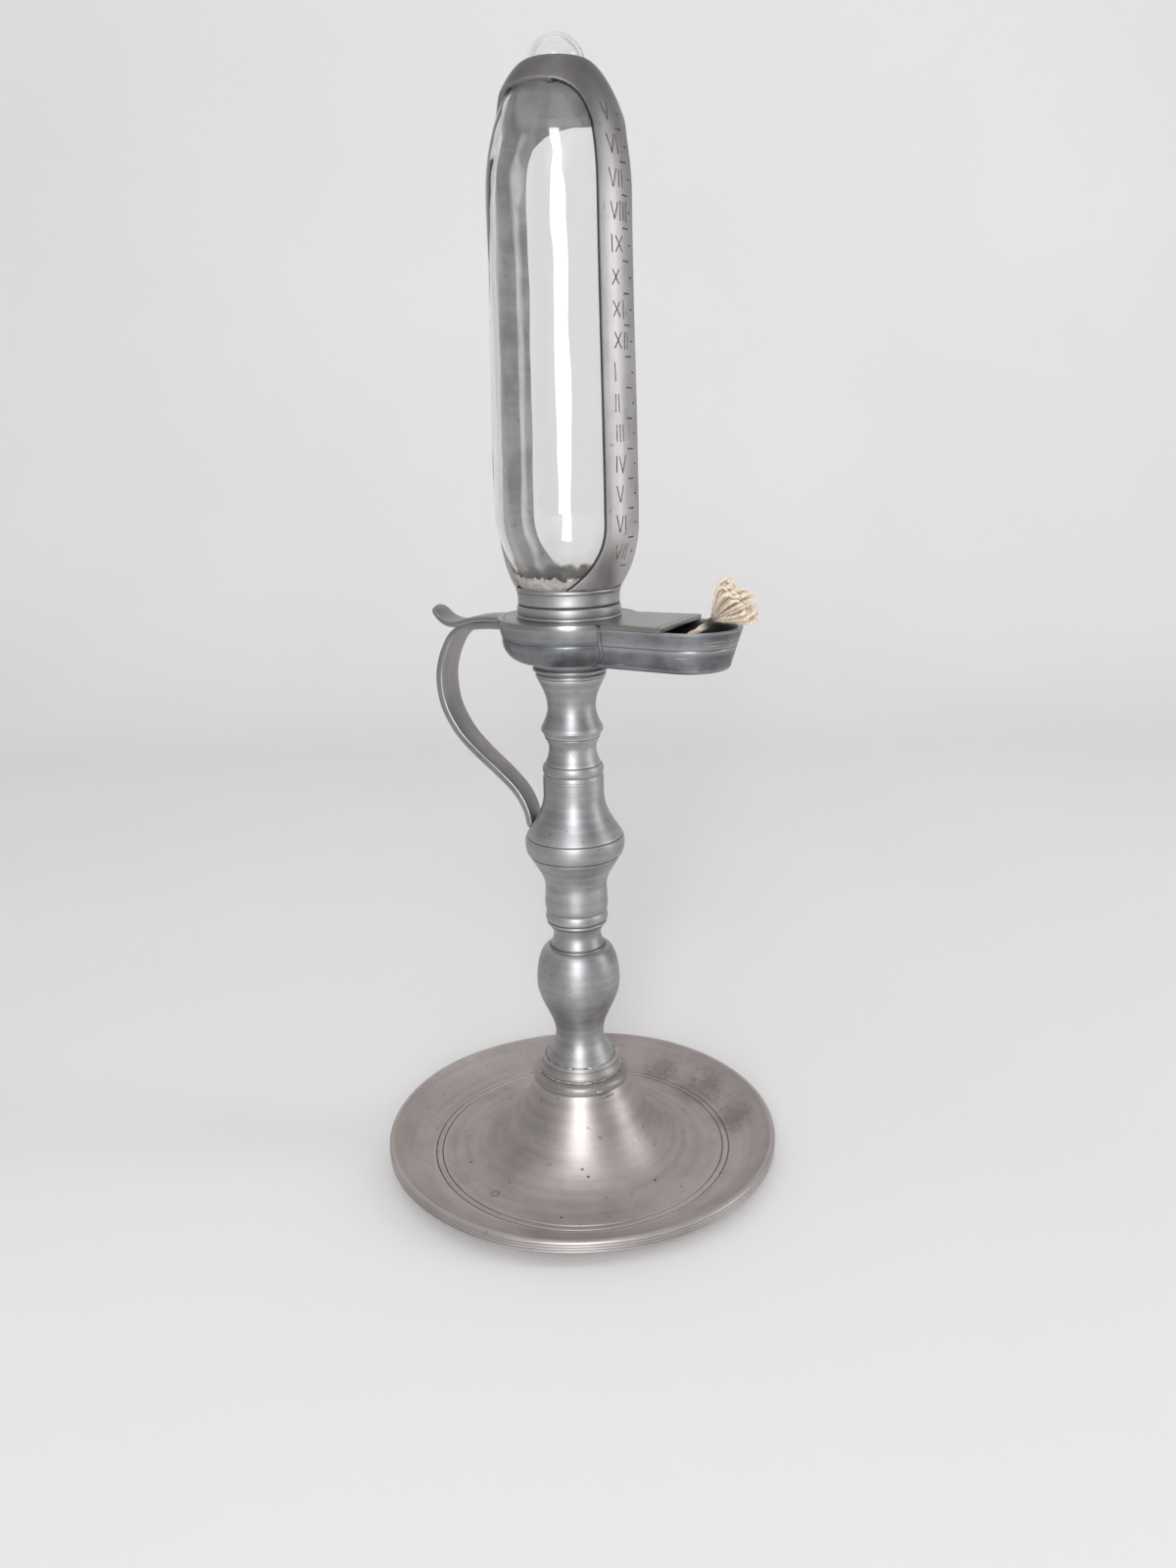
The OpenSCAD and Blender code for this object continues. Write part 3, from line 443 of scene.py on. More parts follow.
def eased(outline, radius):
    """Rounds each corner of a closed outline that turns sharply."""
    out = []
    for i, p in enumerate(outline):
        corner = Vector(p)
        back = Vector(outline[i - 1]) - corner
        ahead = Vector(outline[(i + 1) % len(outline)]) - corner
        if back.length < 1e-6 or ahead.length < 1e-6:
            continue
        turn = math.degrees(math.pi - back.angle(ahead))
        if corner.x < 0.01 or turn < 24:
            out.append(corner)
            continue
        start = corner + back.normalized() * min(radius, 0.45 * back.length)
        end = corner + ahead.normalized() * min(radius, 0.45 * ahead.length)
        for k in range(5):
            t = k / 4
            out.append(start * (1 - t) ** 2 + corner * 2 * t * (1 - t) + end * t * t)
    return out


def corner_values(points):
    """How sharply an outline turns at each point: 1 on a sharp edge, -1 in a sharp hollow."""
    n = len(points)
    area = sum(points[i - 1].x * points[i].y - points[i].x * points[i - 1].y for i in range(n))
    values = []
    for i in range(n):
        a = points[i] - points[i - 1]
        b = points[(i + 1) % n] - points[i]
        turn = math.atan2(a.x * b.y - a.y * b.x, a.dot(b))
        values.append(max(-1.0, min(1.0, math.copysign(1, area) * turn / math.radians(20))))
    for _ in range(2):
        values = [max((values[i], 0.7 * values[i - 1], 0.7 * values[(i + 1) % n]), key=abs) for i in range(n)]
    return values


# Meshes
def verts_of(geom):
    return [v for v in geom if isinstance(v, bmesh.types.BMVert)]


def edges_of(geom):
    return [e for e in geom if isinstance(e, bmesh.types.BMEdge)]


def closed_loop(bm, verts):
    return [bm.edges.new((verts[i - 1], verts[i])) for i in range(len(verts))]


def sharpen(bm, angle):
    for face in bm.faces:
        face.smooth = True
    for edge in bm.edges:
        edge.smooth = edge.calc_face_angle(0.0) < math.radians(angle)


def mark_edges(bm):
    """Writes the same values as corner_values for a mesh of any shape."""
    layer = bm.verts.layers.float.get("edge") or bm.verts.layers.float.new("edge")
    values = {}
    for v in bm.verts:
        turns = [e.calc_face_angle_signed(0.0) for e in v.link_edges if len(e.link_faces) == 2]
        turn = max(turns, key=abs) if turns else 0.0
        values[v] = max(-1.0, min(1.0, turn / math.radians(28)))
    for v in bm.verts:
        near = [0.6 * values[e.other_vert(v)] for e in v.link_edges]
        v[layer] = max(near + [values[v]], key=abs)


def add_object(name, bm, *finishes):
    mesh = bpy.data.meshes.new(name)
    bm.to_mesh(mesh)
    bm.free()
    for finish in finishes:
        mesh.materials.append(finish.material)
    made = bpy.data.objects.new(name, mesh)
    scene.collection.objects.link(made)
    return made


def piece(name, bm, finish, node, body="lamp", angle=SHARP_ANGLE, more=()):
    """Closes a mesh, gives it its finishes and lets it ride on a body, in place of a node if one is named."""
    bmesh.ops.remove_doubles(bm, verts=bm.verts, dist=1e-6)
    bmesh.ops.recalc_face_normals(bm, faces=bm.faces)
    if "edge" not in bm.verts.layers.float.keys():
        mark_edges(bm)
    sharpen(bm, angle)
    made = add_object(name, bm, finish, *more)
    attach(made, body)
    if node:
        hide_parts(node)
    return made


def spin(bm, geom, steps, angle=2 * math.pi, rise=0.0):
    """Spins points and edges round the axis. A spin without a rise closes on itself."""
    spun = bmesh.ops.spin(bm, geom=geom, cent=(0, 0, 0), axis=(0, 0, 1), dvec=(0, 0, rise * MM), angle=angle,
                          steps=steps, use_merge=not rise, use_normal_flip=False, use_duplicate=False)
    return spun["geom_last"]


def lathe_mesh(outline, radius=0.22, segments=SEGMENTS):
    """Spins a closed outline once round the axis."""
    points = eased(outline, radius)
    bm = bmesh.new()
    along = bm.verts.layers.float.new("along")
    edge = bm.verts.layers.float.new("edge")
    ring = []
    length = 0.0
    for i, (p, value) in enumerate(zip(points, corner_values(points))):
        v = bm.verts.new((p.x * MM, 0.0, p.y * MM))
        length += (p - points[i - 1]).length if i else 0.0
        v[along] = length * MM
        v[edge] = value
        ring.append(v)
    edges = [bm.edges.new((ring[i - 1], ring[i])) for i in range(len(ring))
             if ring[i - 1].co.x + ring[i].co.x > 1e-9]
    spin(bm, ring + edges, segments)
    return bm


def loft(bm, rings, caps=True):
    """Grows a skin from ring to ring. Every ring has the same number of points, in metres."""
    verts = [bm.verts.new(p) for p in rings[0]]
    edges = first = closed_loop(bm, verts)
    for ring in rings[1:]:
        grown = bmesh.ops.extrude_edge_only(bm, edges=edges)["geom"]
        new = set(verts_of(grown))
        verts = [next(e.other_vert(v) for e in v.link_edges if e.other_vert(v) in new) for v in verts]
        for v, p in zip(verts, ring):
            v.co = p
        edges = [e for e in edges_of(grown) if new.issuperset(e.verts)]
    if caps:
        bmesh.ops.contextual_create(bm, geom=first)
        bmesh.ops.contextual_create(bm, geom=edges)


def cut(target, shape, *finishes, overlapping=False):
    """Takes a closed shape away from a piece. The cut faces take the shape's finishes, if it has any."""
    bmesh.ops.recalc_face_normals(shape, faces=shape.faces)
    cutter = add_object("cutter", shape, *finishes)
    modifier = target.modifiers.new("cut", "BOOLEAN")
    modifier.object = cutter
    modifier.operation = "DIFFERENCE"
    modifier.solver = "EXACT"
    modifier.use_self = overlapping
    modifier.material_mode = "TRANSFER"
    bpy.context.view_layer.update()
    graph = bpy.context.evaluated_depsgraph_get()
    mesh = bpy.data.meshes.new_from_object(target.evaluated_get(graph))
    target.modifiers.clear()
    target.data = mesh
    bpy.data.objects.remove(cutter)
    bm = bmesh.new()
    bm.from_mesh(mesh)
    bmesh.ops.remove_doubles(bm, verts=bm.verts, dist=1e-7)
    bmesh.ops.dissolve_degenerate(bm, edges=bm.edges, dist=1e-7)
    sharpen(bm, SHARP_ANGLE)
    bm.to_mesh(mesh)
    bm.free()


def through(points, n):
    """A smooth line through every point of a list."""
    p = [Vector(q) for q in points]
    out = []
    for i in range(len(p) - 1):
        a, b, c, d = p[max(i - 1, 0)], p[i], p[i + 1], p[min(i + 2, len(p) - 1)]
        for k in range(n):
            t = k / n
            out.append((2 * b + (c - a) * t + (2 * a - 5 * b + 4 * c - d) * t * t
                        + (3 * b - a - 3 * c + d) * t ** 3) / 2)
    return out + [p[-1]]


def tube_rings(path, sides, radius_at, lobes=0, lobe_depth=0.0, twist=0.0):
    """Rings round a path, with lobes that turn as they go, so that the tube looks laid from strands."""
    rings = []
    side = Vector((0, 0, 1))
    gone = 0.0
    for i, p in enumerate(path):
        t = direction(path, i)
        side = (side - t * side.dot(t)).normalized()
        up = t.cross(side)
        gone += (p - path[i - 1]).length if i else 0.0
        r = radius_at(i / (len(path) - 1))
        ring = []
        for k in range(sides):
            a = 2 * math.pi * k / sides
            reach = r * (1 - lobe_depth + lobe_depth * math.cos(lobes * a - twist * gone))
            ring.append(p + (side * math.cos(a) + up * math.sin(a)) * reach)
        rings.append(ring)
    return rings


# Wick and its frayed end
STRAND_SIDES = 18
YARN_SIDES = 10
YARNS = 38
GOLDEN_SHARE = 0.381966
TUFT_L = 13.8
TUFT_SPREAD = 7.3


def mark_lay(bm, sides):
    """Numbers the rings, so that the finish can follow the yarn."""
    layer = bm.verts.layers.float.new("lay")
    for i, v in enumerate(bm.verts):
        v[layer] = (i // sides) * 0.1


def make_wick():
    route = [Vector((x, y, z + BOWL)) * MM for x, y, z in WICK_ROUTE]
    path = through(route, 6)
    bm = bmesh.new()
    loft(bm, tube_rings(path, STRAND_SIDES, lambda t: WICK_D * MM / 2, 3, 0.13, 1900.0))
    mark_lay(bm, STRAND_SIDES)
    made = piece("wick_strand", bm, WICK_COTTON, "wick", angle=60)
    length = sum((path[i] - path[i - 1]).length for i in range(1, len(path)))
    return made, path, length


wick_strand, wick_path, wick_length = make_wick()


def make_tuft():
    """Yarns that fan out from the strand's end and curl over, each with three loose fibres at its tip."""
    rng = random.Random(21)
    end = wick_path[-1]
    ahead = (wick_path[-1] - wick_path[-2]).normalized()
    level = Vector((0, 0, 1)).cross(ahead).normalized()
    up = ahead.cross(level)
    down = Vector((0, 0, -1))
    bm = bmesh.new()
    for i in range(YARNS):
        about = 2 * math.pi * (i * GOLDEN_SHARE + 0.06 * rng.random())
        fan = math.sqrt((i + 0.5) / YARNS)
        way = level * math.cos(about) + up * math.sin(about)
        length = (TUFT_L - 3.0 * fan + rng.uniform(-1.4, 0.6)) * MM
        spread = (TUFT_SPREAD * fan + rng.uniform(-0.5, 0.4)) * MM
        curl = level * rng.uniform(-1.3, 1.3) * MM + up * rng.uniform(-0.9, 0.7) * MM
        root = end - ahead * 0.5 * MM + way * 0.75 * fan * MM
        points = [root + ahead * length * math.sin(1.45 * s) + way * spread * math.sin(2.2 * s) + curl * s * s
                  + down * (0.8 + 1.1 * fan) * MM * s ** 3 for s in (0, 0.16, 0.34, 0.52, 0.68, 0.84, 1.0)]
        thick = rng.uniform(0.52, 0.72) * MM
        twist = rng.choice((2400.0, 2800.0))
        loft(bm, tube_rings(through(points, 4), YARN_SIDES,
                            lambda t: thick * (0.85 + 0.3 * t - 0.45 * past(t, 0.85)), 2, 0.2, twist))
        last = (points[-1] - points[-2]).normalized()
        for _ in range(3):
            tip = points[-1] + Vector((rng.uniform(-1, 1), rng.uniform(-1, 1), rng.uniform(-1, 1))) * 0.3 * MM
            loose = [tip, tip + last * 0.6 * MM + way * rng.uniform(-0.2, 0.5) * MM,
                     tip + last * rng.uniform(0.8, 1.3) * MM + way * rng.uniform(-0.3, 0.9) * MM]
            loft(bm, tube_rings(through(loose, 3), 5, lambda t: 0.11 * MM * (1.1 - 0.7 * t)))
    mark_lay(bm, YARN_SIDES)
    return piece("wick_fray", bm, TUFT_COTTON, "wick_tuft", angle=60)


wick_fray = make_tuft()


# Drip pan
PAN_WANDER = 0.7
WANDERS_PER_METRE = 22.0


def pan_outline():
    flared = [(DOME_R + (FLARE_R - DOME_R) * t, flare_height(t)) for t in (i / 48 for i in range(49))]
    risen = [(RISE_R + (PAN_R - EDGE_W - RISE_R) * t, PAN_T + (PAN_H - PAN_T) * t ** 1.6)
             for t in (i / 24 for i in range(25))]
    circles = []
    for r in CIRCLES:
        circles += [(r - 0.3, PAN_T), (r - 0.1, PAN_T - 0.3), (r + 0.1, PAN_T - 0.3), (r + 0.3, PAN_T)]
    band = []
    for i in (1, 2, 3):
        band += reversed(fine_line(PAN_R, PAN_H - EDGE_H * (i + 0.35) / 4, 0.3, 0.2))
    under = [(r, 0.0 if z < 0.2 else z) for r, z in shifted(flared + risen, PAN_T)
             if z < FOOT - 2 * PAN_T and r < PAN_R - 3 * EDGE_W]
    top = flared + circles + risen
    rim = [(PAN_R - EDGE_W + 0.5, PAN_H), (PAN_R - 0.3, PAN_H - 0.15), (PAN_R, PAN_H - 0.6)]
    below = [(PAN_R, PAN_H - EDGE_H), (PAN_R - EDGE_W, PAN_H - EDGE_H - 0.7)]
    around = [(BORE, FOOT)] + top + rim + band + below + under[::-1]
    around += [(DOME_R - 2 * PAN_T, FOOT - PAN_T), (BORE, FOOT - PAN_T)]
    return around[::-1]


def make_pan():
    """The pan wanders a little from true, as old pewter does, more towards its edge."""
    bm = lathe_mesh(pan_outline(), 0.25, 256)
    for v in bm.verts:
        reach = math.hypot(v.co.x, v.co.y) / (PAN_R * MM)
        wander = noise.noise((v.co.x * WANDERS_PER_METRE, v.co.y * WANDERS_PER_METRE, 0.0))
        v.co.z += PAN_WANDER * MM * reach ** 3 * wander * min(1.0, v.co.z / (4 * MM))
    piece("pan_turned", bm, PAN_PEWTER, "drip_pan")


make_pan()


# Stem. Heights in these outlines are above the piece's own joint.
def stem_piece(name, node, joint, outer, finish=STEM_PEWTER, radius=0.22):
    """Turns a stem piece from its outside, with the bore as its inside."""
    outer = [(r, joint + z) for r, z in outer]
    around = [(BORE, outer[0][1])] + outer + [(BORE, outer[-1][1])]
    piece(name, lathe_mesh(around, radius), finish, node)


foot = [(14.7, 0), (15.9, 0.3), (16.1, 0.9), (16.1, 2.3), (15.7, 3.0), (14.5, 3.7), (13.9, 3.7), (13.7, 3.95)]
foot += [(13.9, 4.4)] + s_curve((13.8, 5.0), (12.6, 7.6), 10) + [(12.5, FOOT_H)]
stem_piece("foot_turned", "foot_ring", FOOT, foot, FOOT_PEWTER, 0.45)

baluster = [(11.7, 0)] + swell((11.5, 0.3), (8.0, 8.4)) + s_curve((8.0, 8.4), (13.65, 27.4), 40)
baluster += dome((13.65, 27.4), (9.6, BALUSTER_H), 26) + [(9.6, BALUSTER_H)]
stem_piece("baluster_turned", "stem_baluster", BALUSTER, baluster)

neck = [(9.25, 0), (9.25, 0.35)] + swell((9.0, 0.6), (7.7, 4.6), 14) + flare((7.7, 4.6), (9.3, 8.2), 14)
neck += [(9.3, 8.2), (9.7, 8.5), (9.75, 9.1), (9.45, 9.45), (9.75, 9.8)] + cup((9.8, 9.9), (10.1, 10.6), 5)
neck += dome((10.1, 10.6), (9.5, NECK_H - 0.2), 7) + [(9.4, NECK_H)]
stem_piece("neck_turned", "stem_neck", NECK, neck)

rise = s_curve((10.2, 8.4), (15.9, 23.0), 40)
cup_side = [(9.3, 0)] + cup((9.4, 0.1), (10.2, 2.4), 10) + [(10.2, 2.4)]
cup_side += [(r - 0.28, z) for r, z in rise if z < 19.0] + [(14.15, 19.05), (14.6, 19.35)]
cup_side += [(r, z) for r, z in rise if z > 19.6] + dome((15.9, 23.0), (15.45, CUP_H), 10) + [(15.3, CUP_H)]
stem_piece("cup_turned", "stem_cup", CUP, cup_side)

bell = [(15.0, 0)] + swell((15.4, 0.45), (9.6, 14.0), 30)
bell += [(9.6, 14.0), (9.6, 18.9), (9.5, 19.0), (9.6, 19.1)] + dome((9.6, 19.2), (8.9, BELL_H), 8)
stem_piece("bell_turned", "stem_bell", BELL, bell + [(8.9, BELL_H)])

lower = [(8.9, 0)] + cup((9.0, 0), (9.65, 1.5), 8) + dome((9.65, 1.6), (9.0, 3.0), 6) + [(8.75, 3.05)]
lower += swell((8.75, 3.2), (7.45, 8.2), 16) + flare((7.45, 8.4), (8.75, 11.7), 12)
lower += [(8.75, 11.7), (8.5, 11.9), (8.85, 12.15)] + flare((8.85, 12.15), (9.75, 13.9), 8)
stem_piece("lower_spool_turned", "lower_spool", LOWER_SPOOL, lower + [(9.72, 13.9), (9.75, LOWER_H)])

upper = [(9.75, 0), (9.75, 0.15)] + swell((9.72, 0.3), (7.55, 6.9)) + flare((7.55, 7.0), (10.5, 16.0), 24)
stem_piece("upper_spool_turned", "upper_spool", UPPER_SPOOL, upper + [(10.5, 16.0), (10.6, UPPER_H)])

seat = [(10.4, 0), (10.9, 0.25), (10.95, 0.85), (10.55, 1.25), (10.6, 1.4)]
seat += flare((10.7, 1.5), (11.5, 1.95), 5) + [(11.75, 2.1), (11.75, 2.6), (11.3, 2.95)]
seat += flare((11.35, 3.1), (12.6, 4.3), 8)
stem_piece("seat_turned", "bowl_seat", SEAT, seat + [(12.8, 4.4), (12.8, SEAT_H)], radius=0.15)


# Solder on the foot
def noise_round(angle, scale, seed):
    """Noise that closes on itself after a full turn."""
    return noise.noise((math.cos(angle) * scale, math.sin(angle) * scale, seed))


def solder_seam(name, r, z, seed, thick):
    """A rough bead of solder round a joint, uneven and in places almost gone."""
    bm = bmesh.new()
    ring = bmesh.ops.create_circle(bm, segments=8, radius=thick * MM,
                                   matrix=moved(r, 0, z) @ turned_about("X", 90))["verts"]
    spin(bm, ring + list({e for v in ring for e in v.link_edges}), 360)
    for v in bm.verts:
        a = math.atan2(v.co.y, v.co.x)
        heart = Vector((math.cos(a) * r * MM, math.sin(a) * r * MM, z * MM))
        rough = noise_round(a, 5, seed) + 0.4 * noise.noise(v.co * 1100 + Vector((seed, 0, 0)))
        v.co = heart + (v.co - heart) * max(0.35, 0.85 + 0.8 * rough)
        v.co.z += 0.22 * MM * noise_round(a, 14, seed + 5)
    piece(name, bm, SOLDER, None, angle=80)


def solder_drop(name, angle, r, z, size):
    bm = bmesh.new()
    spot = turned_about("Z", angle) @ moved(r, 0, z)
    bmesh.ops.create_icosphere(bm, subdivisions=4, radius=MM, matrix=spot @ Matrix.Diagonal((*size, 1.0)))
    for v in bm.verts:
        v.co += (v.co - spot.translation) * 0.3 * noise.noise(v.co * 900)
    piece(name, bm, SOLDER, None, angle=80)


solder_seam("solder_at_step", 13.75, FOOT + 3.95, 3.0, 0.34)
solder_seam("solder_at_stem", 11.85, BALUSTER + 0.12, 8.0, 0.36)
solder_drop("solder_drop", -40.0, 16.0, FOOT + 1.2, (0.38, 1.25, 0.85))
solder_drop("solder_smear", -29.0, 15.75, FOOT - 0.75, (0.45, 2.5, 0.75))


# Oil bowl, spout and cover
BOWL_R = 21.9
BOWL_FOOT_R = 13.3
BOWL_WALL = 1.6
LINE = BOWL + 7.4
LINE_R = BOWL_R - 1.2
SPOUT_REACH = 39.6
SPOUT_R = 15.5
ROOT_X = BOWL_R / 2
ROOT_W = 13.8
SLOPE = (SPOUT_R - ROOT_W) / (SPOUT_REACH - ROOT_X)
LEAN = 3.4
ROUND = 1.6
COVER_REACH = 37.0
COVER_HOLE = 13.95
SPARE = 0.05


def lean_at(z):
    return LEAN * (RIM - z) / (BOWL_H - ROUND)


def paddle(inset, z, arc=40, side=14):
    """The spout's outline at a height, from its root round its end and back."""
    tip = SPOUT_R - inset
    root = ROOT_W - inset
    half = [(SPOUT_REACH + tip * math.cos(a), tip * math.sin(a)) for a in
            (-math.pi / 2 + math.pi * k / arc for k in range(arc + 1))]
    near = [(ROOT_X + (SPOUT_REACH - ROOT_X) * k / side, -root - (tip - root) * k / side) for k in range(side)]
    far = [(x, -y) for x, y in reversed(near)]
    return [Vector((x, y, z)) * MM for x, y in near + half + far]


def spout_levels():
    """Heights and insets of the spout's skin, up the outside and over the rim, and then down the inside."""
    up = [(BOWL + ROUND * (1 - math.cos(a)), LEAN + ROUND * (1 - math.sin(a)))
          for a in (math.pi / 2 * k / 6 for k in range(6))]
    up += [(z, lean_at(z)) for z in (BOWL + ROUND, BOWL + 2 * ROUND, LINE - 1.2, LINE - 0.4)]
    up.append((LINE - 0.2, lean_at(LINE) + 0.2))
    up += [(z, lean_at(z)) for z in (LINE, LINE + 0.8, RIM - 1.2, RIM - 0.4)]
    up += [(RIM - 0.12, 0.1), (RIM, 0.35), (RIM, BOWL_WALL - 0.3), (RIM - 0.1, BOWL_WALL - 0.08)]
    down = [(RIM - 0.3, BOWL_WALL)]
    down += [(z, BOWL_WALL + lean_at(z)) for z in (RIM - 4.0, BOWL + 2 * ROUND)]
    down += [(BOWL + BOWL_WALL + 0.4, BOWL_WALL + LEAN + 0.9), (BOWL + BOWL_WALL, BOWL_WALL + LEAN + ROUND)]
    return up, down


def bowl_room(top):
    """A turned block that fills the bowl's outside with a hair to spare, up to a height."""
    wall = [(0.0, BOWL - 1.0), (BOWL_FOOT_R + SPARE, BOWL - 1.0)]
    wall += [(r + SPARE, z) for r, z in cup((BOWL_FOOT_R, BOWL), (LINE_R, LINE), 26)]
    wall += [(LINE_R + SPARE, LINE), (BOWL_R + SPARE, RIM), (BOWL_R + SPARE, top), (0.0, top)]
    return lathe_mesh(wall, 0.01)


def bowl_radius(z):
    """Outside radius of the bowl at a height."""
    if z >= LINE:
        return LINE_R + (BOWL_R - LINE_R) * (z - LINE) / (RIM - LINE)
    rest = max(0.0, 1 - (z - BOWL) / (LINE - 0.4 - BOWL))
    return BOWL_FOOT_R + (LINE_R - BOWL_FOOT_R) * quarter_sine(math.acos(rest) * 2 / math.pi)


def spout_seam(name, side):
    """A low upright bead where the spout's wall meets the bowl's."""
    low, high = BOWL + 2.2, RIM - 0.25
    path = []
    for k in range(25):
        z = low + (high - low) * k / 24
        x = 15.0
        for _ in range(12):
            y = ROOT_W - lean_at(z) + SLOPE * (x - ROOT_X)
            x = math.sqrt(max(1.0, bowl_radius(z) ** 2 - y * y))
        path.append(Vector((x - 0.05, side * (y - 0.1), z)) * MM)
    bm = bmesh.new()
    bm.verts.layers.float.new("edge")
    loft(bm, tube_rings(path, 12, lambda t: (0.42 + 0.3 * math.sin(math.pi * t) ** 0.5) * MM))
    for v in bm.verts:
        v.co += v.normal * 0.1 * MM * noise.noise(v.co * 700)
    piece(name, bm, SEAM_PEWTER, None, angle=80)


def make_bowl():
    side = cup((BOWL_FOOT_R, BOWL), (LINE_R, LINE - 0.4), 26) + fine_line(LINE_R, LINE, 0.2, 0.22)
    side += [(LINE_R + 0.4, LINE + 1.6), (BOWL_R, RIM)]
    inner = [(r - BOWL_WALL, max(z, BOWL + BOWL_WALL)) for r, z in
             cup((12.6 + BOWL_WALL, BOWL + BOWL_WALL), (LINE_R, BOWL + 8.0), 16)] + [(BOWL_R - BOWL_WALL, RIM)]
    around = [(0.0, BOWL)] + side + inner[::-1] + [(0.0, BOWL + BOWL_WALL)]
    bowl = piece("bowl_turned", lathe_mesh(around), BOWL_PEWTER, "lamp_bowl")
    mouth = [(BOWL + BOWL_WALL + 0.1, BOWL_WALL + LEAN + ROUND), (BOWL + BOWL_WALL + ROUND, BOWL_WALL + LEAN),
             (RIM + 1.0, BOWL_WALL)]
    bm = bmesh.new()
    loft(bm, [paddle(inset, z) for z, inset in mouth])
    cut(bowl, bm)


def make_spout():
    up, down = spout_levels()
    rings = [paddle(inset, z) for z, inset in up + down]
    bm = bmesh.new()
    loft(bm, rings)
    for i, face in enumerate(bm.faces):
        face.material_index = int(i >= len(up) * len(rings[0]))
    spout = piece("spout_body", bm, SPOUT_PEWTER, "spout", more=(SOOTY_PEWTER,))
    cut(spout, bowl_room(RIM + 2.0))
    spout_seam("seam_in_front", -1)
    spout_seam("seam_at_back", 1)


make_bowl()
make_spout()


def cover_loop(inset, z, end=18, side=18, back=90):
    """The cover's outline: a straight end over the spout, two slanting sides and the round of the bowl."""
    end_x = COVER_REACH - inset
    corner = ROOT_W - inset + SLOPE * (end_x - ROOT_X)
    reach = BOWL_R - inset
    offset = ROOT_W - inset - SLOPE * ROOT_X
    meet_x = (-SLOPE * offset + math.sqrt((1 + SLOPE ** 2) * reach ** 2 - offset ** 2)) / (1 + SLOPE ** 2)
    meet_y = offset + SLOPE * meet_x
    meet = math.atan2(meet_y, meet_x)
    points = [(end_x, -corner + 2 * corner * k / end) for k in range(end)]
    upper_side = [(end_x + (meet_x - end_x) * k / side, corner + (meet_y - corner) * k / side)
                  for k in range(side)]
    arc = [(reach * math.cos(a), reach * math.sin(a)) for a in
           (meet + (2 * math.pi - 2 * meet) * k / back for k in range(back))]
    lower_side = [(meet_x, -meet_y)] + [(x, -y) for x, y in reversed(upper_side[1:])]
    return [Vector((x, y, z)) * MM for x, y in points + upper_side + arc + lower_side]


def hole_loop(radius, z, like):
    return [Vector((math.cos(a) * radius, math.sin(a) * radius, z)) * MM for a in
            (math.atan2(p.y, p.x) for p in like)]


def make_cover():
    low = RIM + 0.02
    levels = [(0.0, low), (0.0, COVER - 0.35), (0.1, COVER - 0.12), (0.35, COVER), (1.75, COVER),
              (1.95, COVER - 0.28), (2.15, COVER)]
    rings = [cover_loop(inset, z) for inset, z in levels]
    holes = ((17.6, COVER), (COVER_HOLE, COVER), (COVER_HOLE, low))
    rings += [hole_loop(radius, z, rings[-1]) for radius, z in holes]
    bm = bmesh.new()
    loft(bm, rings + [rings[0]], False)
    piece("cover_plate", bm, COVER_PEWTER, "lamp_cover")


make_cover()


# Screw joint: ring on the cover, washer, and the collar with its threaded nozzle
STRAP_TURN = -14.0
NOZZLE = COLLAR - 10.6
NOZZLE_BORE = 8.8
FEED_R = 1.8
THREAD_R = 12.2
CORE_R = 11.3
SOCKET_BORE = 12.5
WASHER_R = 15.4
RECESS_R = 14.6
PITCH = 2.5
THREAD_LOW = NOZZLE + 1.6
STEPS_A_TURN = 48


def add_thread(bm, root, tip, low, high):
    """A ridge that climbs round the axis, spun with a rise at every step."""
    width = PITCH / 2 - 0.3
    start = [bm.verts.new((r * MM, 0.0, (low + share * width / 2) * MM)) for r, share in
             ((root, -1.25), (tip, -0.75), (tip, 0.75), (root, 1.25))]
    edges = closed_loop(bm, start)
    steps = int((high - low) / PITCH * STEPS_A_TURN)
    grown = spin(bm, start + edges, steps, 2 * math.pi * steps / STEPS_A_TURN, PITCH / STEPS_A_TURN)
    bmesh.ops.contextual_create(bm, geom=edges)
    bmesh.ops.contextual_create(bm, geom=edges_of(grown))


def make_socket():
    around = [(SOCKET_BORE, COVER - 6.4), (13.9, COVER - 6.4), (13.9, COVER), (16.05, COVER + 0.02),
              (16.05, COVER + 0.7), (15.55, COVER + 1.0), (15.6, COVER + 1.3), (15.8, COVER + 1.8),
              (15.8, SOCKET - 0.5), (15.45, SOCKET), (SOCKET_BORE, SOCKET)]
    bm = lathe_mesh(around)
    add_thread(bm, SOCKET_BORE + 0.3, CORE_R + 0.3, THREAD_LOW + PITCH / 2, SOCKET - 0.8)
    piece("socket_turned", bm, STEM_PEWTER, "socket_ring")


def make_washer():
    around = [(SOCKET_BORE, SOCKET), (WASHER_R, SOCKET), (WASHER_R, COLLAR), (SOCKET_BORE, COLLAR)]
    piece("washer_cut", lathe_mesh(around, 0.12), LEATHER, "seal_washer", "seal")


